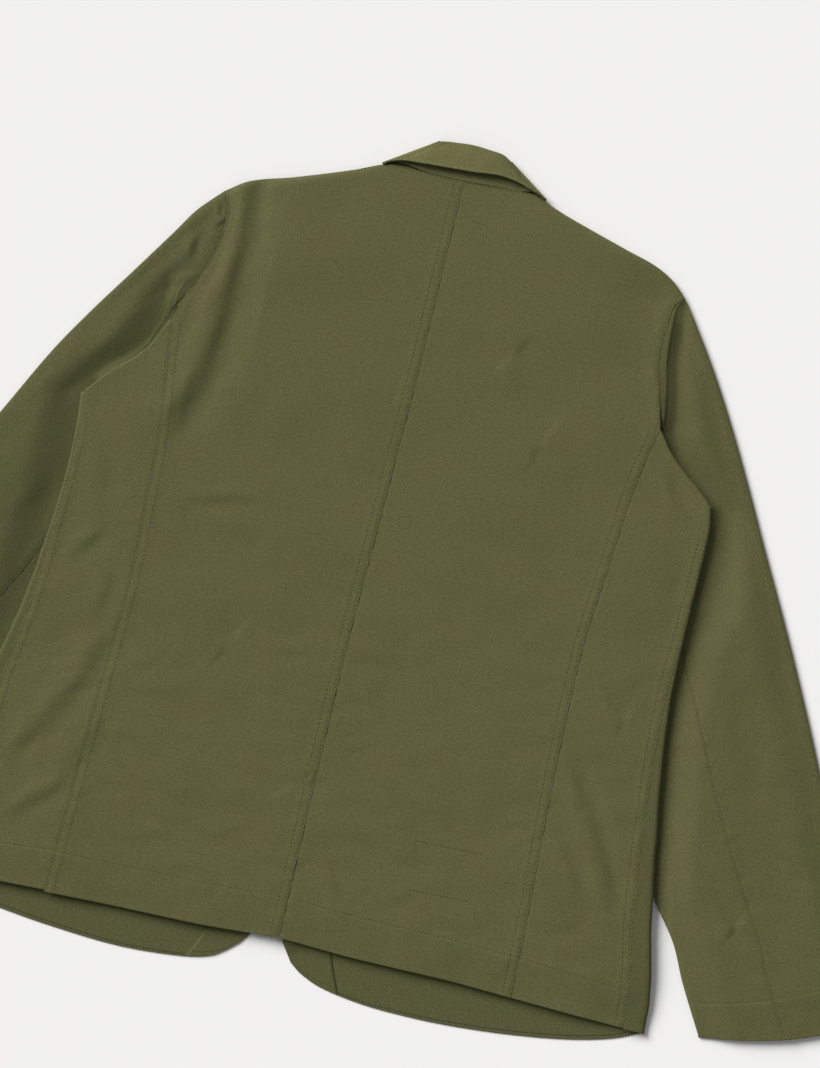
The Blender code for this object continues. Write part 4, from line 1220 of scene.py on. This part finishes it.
def openRow(run, count):   # between two places on the back

    def surface(share, aside):
        first, last = run
        across, down = mix(first[0], last[0], share), mix(first[1], last[1], share)
        return across, down + aside, backHeight(across, down + aside)

    return pathOn(surface, spread(0.0, 1.0, count))


def neckRow(side):   # beside the neck seam

    def surface(share, aside):
        across = side["sign"] * mix(2.0, 64.0, share)
        down = read(topLine, across) + 0.9 + aside
        return across, down, backHeight(across, down)

    return pathOn(surface, spread(0.0, 1.0, 30))


def sleeveRow(side, offset, first, last, count):   # along the back sleeve seam

    def surface(along, aside):
        return sleeveTop(side, "upper", (1.0, offset + aside), along)

    return pathOn(surface, spread(first, last, count))


def cuffRow(side):
    depth = sleeve["cuffDepth"] - 1.2

    def surface(share, aside):
        return sleeveSurface(side, 1, share, 1.0 - (depth - aside) / sleeveLength(side))

    return pathOn(surface, spread(0.02, 0.985, 60))


def frontEdgeRow(side, inset, first, last):   # inside the lower edge of a front

    def surface(column, aside):
        return facingSurface(side, column, 3.0 - (inset + aside) / body["frontLength"])

    return pathOn(surface, spread(first, last, 60))


# Finishes.

def newMaterial(name):
    material = bpy.data.materials.new(name)
    material.use_nodes = True
    nodes = material.node_tree.nodes
    return material, nodes, material.node_tree.links, nodes["Principled BSDF"]


def setInputs(node, inputs):
    for key, value in inputs.items():
        node.inputs[key].default_value = value


def addNode(nodes, kind, inputs=(), **settings):
    node = nodes.new(kind)
    for key, value in settings.items():
        setattr(node, key, value)
    setInputs(node, dict(inputs))
    return node


twill = {
    "pitch": 1.05,          # of the diagonal ridges, mm
    "coarsePitch": 2.7,     # where the ridges of the sleeves catch the light
    "wavePeriod": 0.31416,  # of a wave texture whose scale is 1, m
    "waver": 1.6, "coarseWaver": 1.2,
    "angle": 52.0,
    "speckle": 1.20,
    "slub": 0.14,
    "fleck": 0.042,         # pale fibre that is not dyed through
    "ridge": 0.20,
    "brownRange": (0.34, 0.66), "coarseRange": (0.48, 0.62),
    "bump": 0.12,           # mm
    "roughness": 0.88,
    "specular": 0.2,
    "sheen": 0.16, "sheenRoughness": 0.45, "sheenTint": (0.72, 0.76, 0.52, 1.0),
}
twillClouds = {             # spots to a metre across and along the grain, detail, roughness
    "yarn": (820.0, 620.0, 2.0, 0.65),
    "slub": (520.0, 60.0, 2.0, 0.5),
    "brown": (22.0, 22.0, 4.0, 0.55),
    "coarse": (11.0, 8.0, 2.0, 0.5),
    "fleck": (430.0, 370.0, 2.0, 0.6),
}


def twillMaterial(name, tone, coarse):   # coarse is the strength of the coarse ridges
    material, nodes, links, shader = newMaterial(name)
    weave = addNode(nodes, "ShaderNodeUVMap", uv_map="weave")
    turn = (0.0, 0.0, math.radians(twill["angle"]))
    turned = addNode(nodes, "ShaderNodeMapping", {"Rotation": turn})
    links.new(weave.outputs["UV"], turned.inputs["Vector"])

    def combine(operation, first, second):
        node = addNode(nodes, "ShaderNodeMath", operation=operation)
        for socket, value in zip(node.inputs, (first, second)):
            if isinstance(value, (int, float)):
                socket.default_value = value
            else:
                links.new(value, socket)
        return node.outputs[0]

    def centred(source, strength):
        return combine("MULTIPLY", combine("SUBTRACT", source, 0.5), strength)

    def ridges(pitch, waver):
        node = addNode(nodes, "ShaderNodeTexWave", {
            "Scale": twill["wavePeriod"] / (pitch * mm), "Distortion": waver,
            "Detail": 2.0, "Detail Scale": 0.6,
        })
        links.new(turned.outputs["Vector"], node.inputs["Vector"])
        return node.outputs["Fac"]

    def cloud(which):
        across, along, detail, roughness = twillClouds[which]
        stretched = addNode(nodes, "ShaderNodeMapping", {"Scale": (across, along, 1.0)})
        links.new(weave.outputs["UV"], stretched.inputs["Vector"])
        fine = {"Scale": 1.0, "Detail": detail, "Roughness": roughness}
        node = addNode(nodes, "ShaderNodeTexNoise", fine)
        links.new(stretched.outputs["Vector"], node.inputs["Vector"])
        return node.outputs[0]

    def within(source, limits, most):   # 0 to most between the limits
        ends = {"From Min": limits[0], "From Max": limits[1], "To Max": most}
        node = addNode(nodes, "ShaderNodeMapRange", ends)
        links.new(source, node.inputs["Value"])
        return node.outputs[0]

    diagonal = ridges(twill["pitch"], twill["waver"])
    yarn = cloud("yarn")
    plain = [value * tone for value in paint["cloth"]]
    brown = [value * shift for value, shift in zip(plain, paint["brown"])]
    ends = {6: (*plain, 1.0), 7: (*brown, 1.0)}
    hue = addNode(nodes, "ShaderNodeMix", ends, data_type="RGBA")
    links.new(within(cloud("brown"), twill["brownRange"], 1.0), hue.inputs[0])
    light = 1.0
    if coarse:
        shown = within(cloud("coarse"), twill["coarseRange"], coarse)
        wide = ridges(twill["coarsePitch"], twill["coarseWaver"])
        light = combine("ADD", centred(wide, shown), light)
    parts = {"speckle": yarn, "slub": cloud("slub"), "ridge": diagonal}
    for part, source in parts.items():
        light = combine("ADD", centred(source, twill[part]), light)
    coloured = addNode(nodes, "ShaderNodeVectorMath", operation="SCALE")
    links.new(hue.outputs[2], coloured.inputs[0])
    links.new(light, coloured.inputs["Scale"])
    flecked = addNode(nodes, "ShaderNodeVectorMath", operation="ADD")
    links.new(coloured.outputs[0], flecked.inputs[0])
    links.new(centred(cloud("fleck"), twill["fleck"]), flecked.inputs[1])
    links.new(flecked.outputs[0], shader.inputs["Base Color"])
    relief = {"Strength": 1.0, "Distance": twill["bump"] * mm}
    bump = addNode(nodes, "ShaderNodeBump", relief)
    links.new(combine("ADD", diagonal, yarn), bump.inputs["Height"])
    links.new(bump.outputs["Normal"], shader.inputs["Normal"])
    setInputs(shader, {
        "Roughness": twill["roughness"], "Specular IOR Level": twill["specular"],
        "Sheen Weight": twill["sheen"], "Sheen Roughness": twill["sheenRoughness"],
        "Sheen Tint": twill["sheenTint"],
    })
    return material


def grainedMaterial(name, colour, grainSize, roughness):   # with a fine irregular grain
    material, nodes, links, shader = newMaterial(name)
    where = addNode(nodes, "ShaderNodeTexCoord")
    fine = {"Scale": 1.0 / (grainSize * mm), "Detail": 3.0}
    grain = addNode(nodes, "ShaderNodeTexNoise", fine)
    links.new(where.outputs["Object"], grain.inputs["Vector"])
    dark, pale = ((*[times * value for value in colour], 1.0) for times in (0.6, 1.4))
    tone = addNode(nodes, "ShaderNodeMix", {6: dark, 7: pale}, data_type="RGBA")
    links.new(grain.outputs[0], tone.inputs[0])
    links.new(tone.outputs[2], shader.inputs["Base Color"])
    shader.inputs["Roughness"].default_value = roughness
    return material


clothOlive = twillMaterial("olive twill", 1.0, 0.0)
# The collar's finish is the twill painted lighter, as painted light on its grain.
collarOliveWithPaintedLight = twillMaterial("olive twill of the collar, painted lighter", paint["collar"], 0.0)
insideOlive = twillMaterial("olive twill seen from inside", paint["inside"], 0.0)
# Each sleeve's twill is painted darker, as painted shade.
sleeveOlivesWithPaintedShade = {
    which: twillMaterial("olive twill of the " + which + " sleeve", *paint[which + "Sleeve"])
    for which in sides
}
# The thread's finish is its own olive colour darkened with the painted shade of its stitch holes.
threadWithPaintedShade = grainedMaterial("olive thread painted darker for shade", paint["thread"], 2.5, 0.7)
darkHorn = grainedMaterial("dark horn", paint["button"], 5.0, 0.32)
print("finishes ready")

# The ends of a pocket's and a hanger's sewing that show from outside.
insideSewing = [
    ((90, 586), (157, 584)), ((94, 630), (155.5, 628)),
    ((-13.5, 33), (7, 32.6)), ((14, 32.7), (33, 34.7)),
]

# Making the jacket.

made = {}
for name, side in sides.items():
    made["back_" + name] = makeBack(name, side, clothOlive)
    made["side_" + name] = makeSide(name, side, clothOlive)
    made["front_" + name] = makeFront(name, side, insideOlive)
    made["facing_" + name] = makeFacing(name, side, insideOlive)
    made["lapel_" + name] = makeLapel(name, side, clothOlive)
    made["sleeve_upper_" + name] = makeSleeve(name, side, "upper", sleeveOlivesWithPaintedShade[name])
    made["sleeve_under_" + name] = makeSleeve(name, side, "under", sleeveOlivesWithPaintedShade[name])
    print("cloth of the", name, "half laid")
made["collar_leaf"] = makeCollar("collar_leaf", collarLeaf, collarOliveWithPaintedLight, cloth["collarWall"])
made["collar_stand"] = makeCollar("collar_stand", collarStand, clothOlive, cloth["standWall"])
for index, down in enumerate(button["downs"], start=1):
    made["button_" + str(index)] = makeButton("button_" + str(index), down, darkHorn)

for node, piece in made.items():
    piece.name = "sewn_" + node
    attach(piece, "root")
    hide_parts(node)
print("pieces made:", len(made))

for name, side in sides.items():
    near, far = felled["nearRow"], felled["farRow"]
    seams = [backRow(side, 1.0, offset, 1.0, 1.999, 140) for offset in (near, far)]
    seams.append(backRow(side, 1.0, near, 0.02, 1.0, 50))
    seams.append(neckRow(side))
    if side["sign"] < 0:
        seams += [backRow(side, 0.0, offset, 0.01, 1.999, 180) for offset in (near, far)]
    seams += [sideRow(side, offset, 0.06, 0.999, 130) for offset in (near, far)]
    seams.append(sleeveRow(side, near, 0.02, 0.999, 160))
    sewn = stitchPiece("seam_stitches_" + name, seams, threadWithPaintedShade, thread["pitch"])
    made["seams_" + name] = sewn
    begins = facing["begins"]
    hems = [hemRow(side), cuffRow(side), frontEdgeRow(side, 3.8, 1.02, begins)]
    hems.append(frontEdgeRow(side, 8.0, begins + 0.005, 1.975))
    if side["sign"] > 0:
        hems += [openRow(run, 12) for run in insideSewing]
    turned = stitchPiece("hem_stitches_" + name, hems, threadWithPaintedShade, thread["hemPitch"])
    made["hems_" + name] = turned
print("seams stitched")


def declareCut(node):   # its flat size is that of its weave map
    mesh = made[node].data
    places = [entry.uv for entry in mesh.uv_layers["weave"].data]
    width = max(spot.x for spot in places) - min(spot.x for spot in places)
    length = max(spot.y for spot in places) - min(spot.y for spot in places)
    area = 0.0
    for face in mesh.polygons:
        corners = [places[index] for index in face.loop_indices]
        pairs = zip(corners, corners[1:] + corners[:1])
        area += abs(sum(one.x * other.y - other.x * one.y for one, other in pairs)) / 2.0
    area = min(area, width * length)
    print(node, "cut", round(width, 3), "by", round(length, 3), "m, area", round(area, 4))


for name in sides:
    declareCut("back_" + name)
    declareCut("side_" + name)
    declareCut("front_" + name)
    declareCut("facing_" + name)
    declareCut("lapel_" + name)
    declareCut("sleeve_upper_" + name)
    declareCut("sleeve_under_" + name)
declareCut("collar_leaf")
declareCut("collar_stand")

# Floor, light and camera.

studio = {                  # metres and degrees
    "floorSize": 6.0, "floorRoughness": 0.9, "floorSpecular": 0.1,
    "floorHeight": -0.0003,             # just under the cloth
    "world": 0.30, "worldColour": (0.985, 0.99, 1.0, 1.0),
    "sun": 4.25, "sunColour": (1.0, 0.99, 0.97), "softness": 36.0, "sunHeight": 34.0,
    "cameraHeight": 4.0, "pictureHeight": 0.961, "centre": (0.0267, 0.0349), "turned": 13.35,
    "sensor": 36.0,         # mm
}
floorFinish, _, _, floorShader = newMaterial("pale floor")
setInputs(floorShader, {
    "Base Color": (*paint["floor"], 1.0), "Roughness": studio["floorRoughness"],
    "Specular IOR Level": studio["floorSpecular"],
})
floorShape = bmesh.new()
bmesh.ops.create_grid(floorShape, x_segments=1, y_segments=1, size=studio["floorSize"])
bmesh.ops.translate(floorShape, verts=floorShape.verts, vec=(0.0, 0.0, studio["floorHeight"]))
newPiece("floor", floorShape, floorFinish)

world = bpy.data.worlds.new("studio")
world.use_nodes = True
background = {"Color": studio["worldColour"], "Strength": studio["world"]}
setInputs(world.node_tree.nodes["Background"], background)
bpy.context.scene.world = world
sun = bpy.data.lights.new("softLight", "SUN")
sun.energy = studio["sun"]
sun.angle = math.radians(studio["softness"])
sun.color = studio["sunColour"]
lamp = bpy.data.objects.new("softLight", sun)
rise = math.tan(math.radians(studio["sunHeight"]))
towardsLight = Vector((-awayFromLight[0], awayFromLight[1], rise))
lamp.rotation_euler = towardsLight.to_track_quat("Z", "Y").to_euler()
bpy.context.scene.collection.objects.link(lamp)

camera = bpy.data.objects.new("camera", bpy.data.cameras.new("camera"))
camera.data.sensor_width = studio["sensor"]
camera.data.lens = studio["sensor"] * studio["cameraHeight"] / studio["pictureHeight"]
camera.data.clip_end = 20.0
camera.location = (*studio["centre"], studio["cameraHeight"])
camera.rotation_euler = (0.0, 0.0, math.radians(studio["turned"]))
bpy.context.scene.collection.objects.link(camera)
bpy.context.scene.camera = camera
bpy.context.scene.view_settings.view_transform = "Standard"
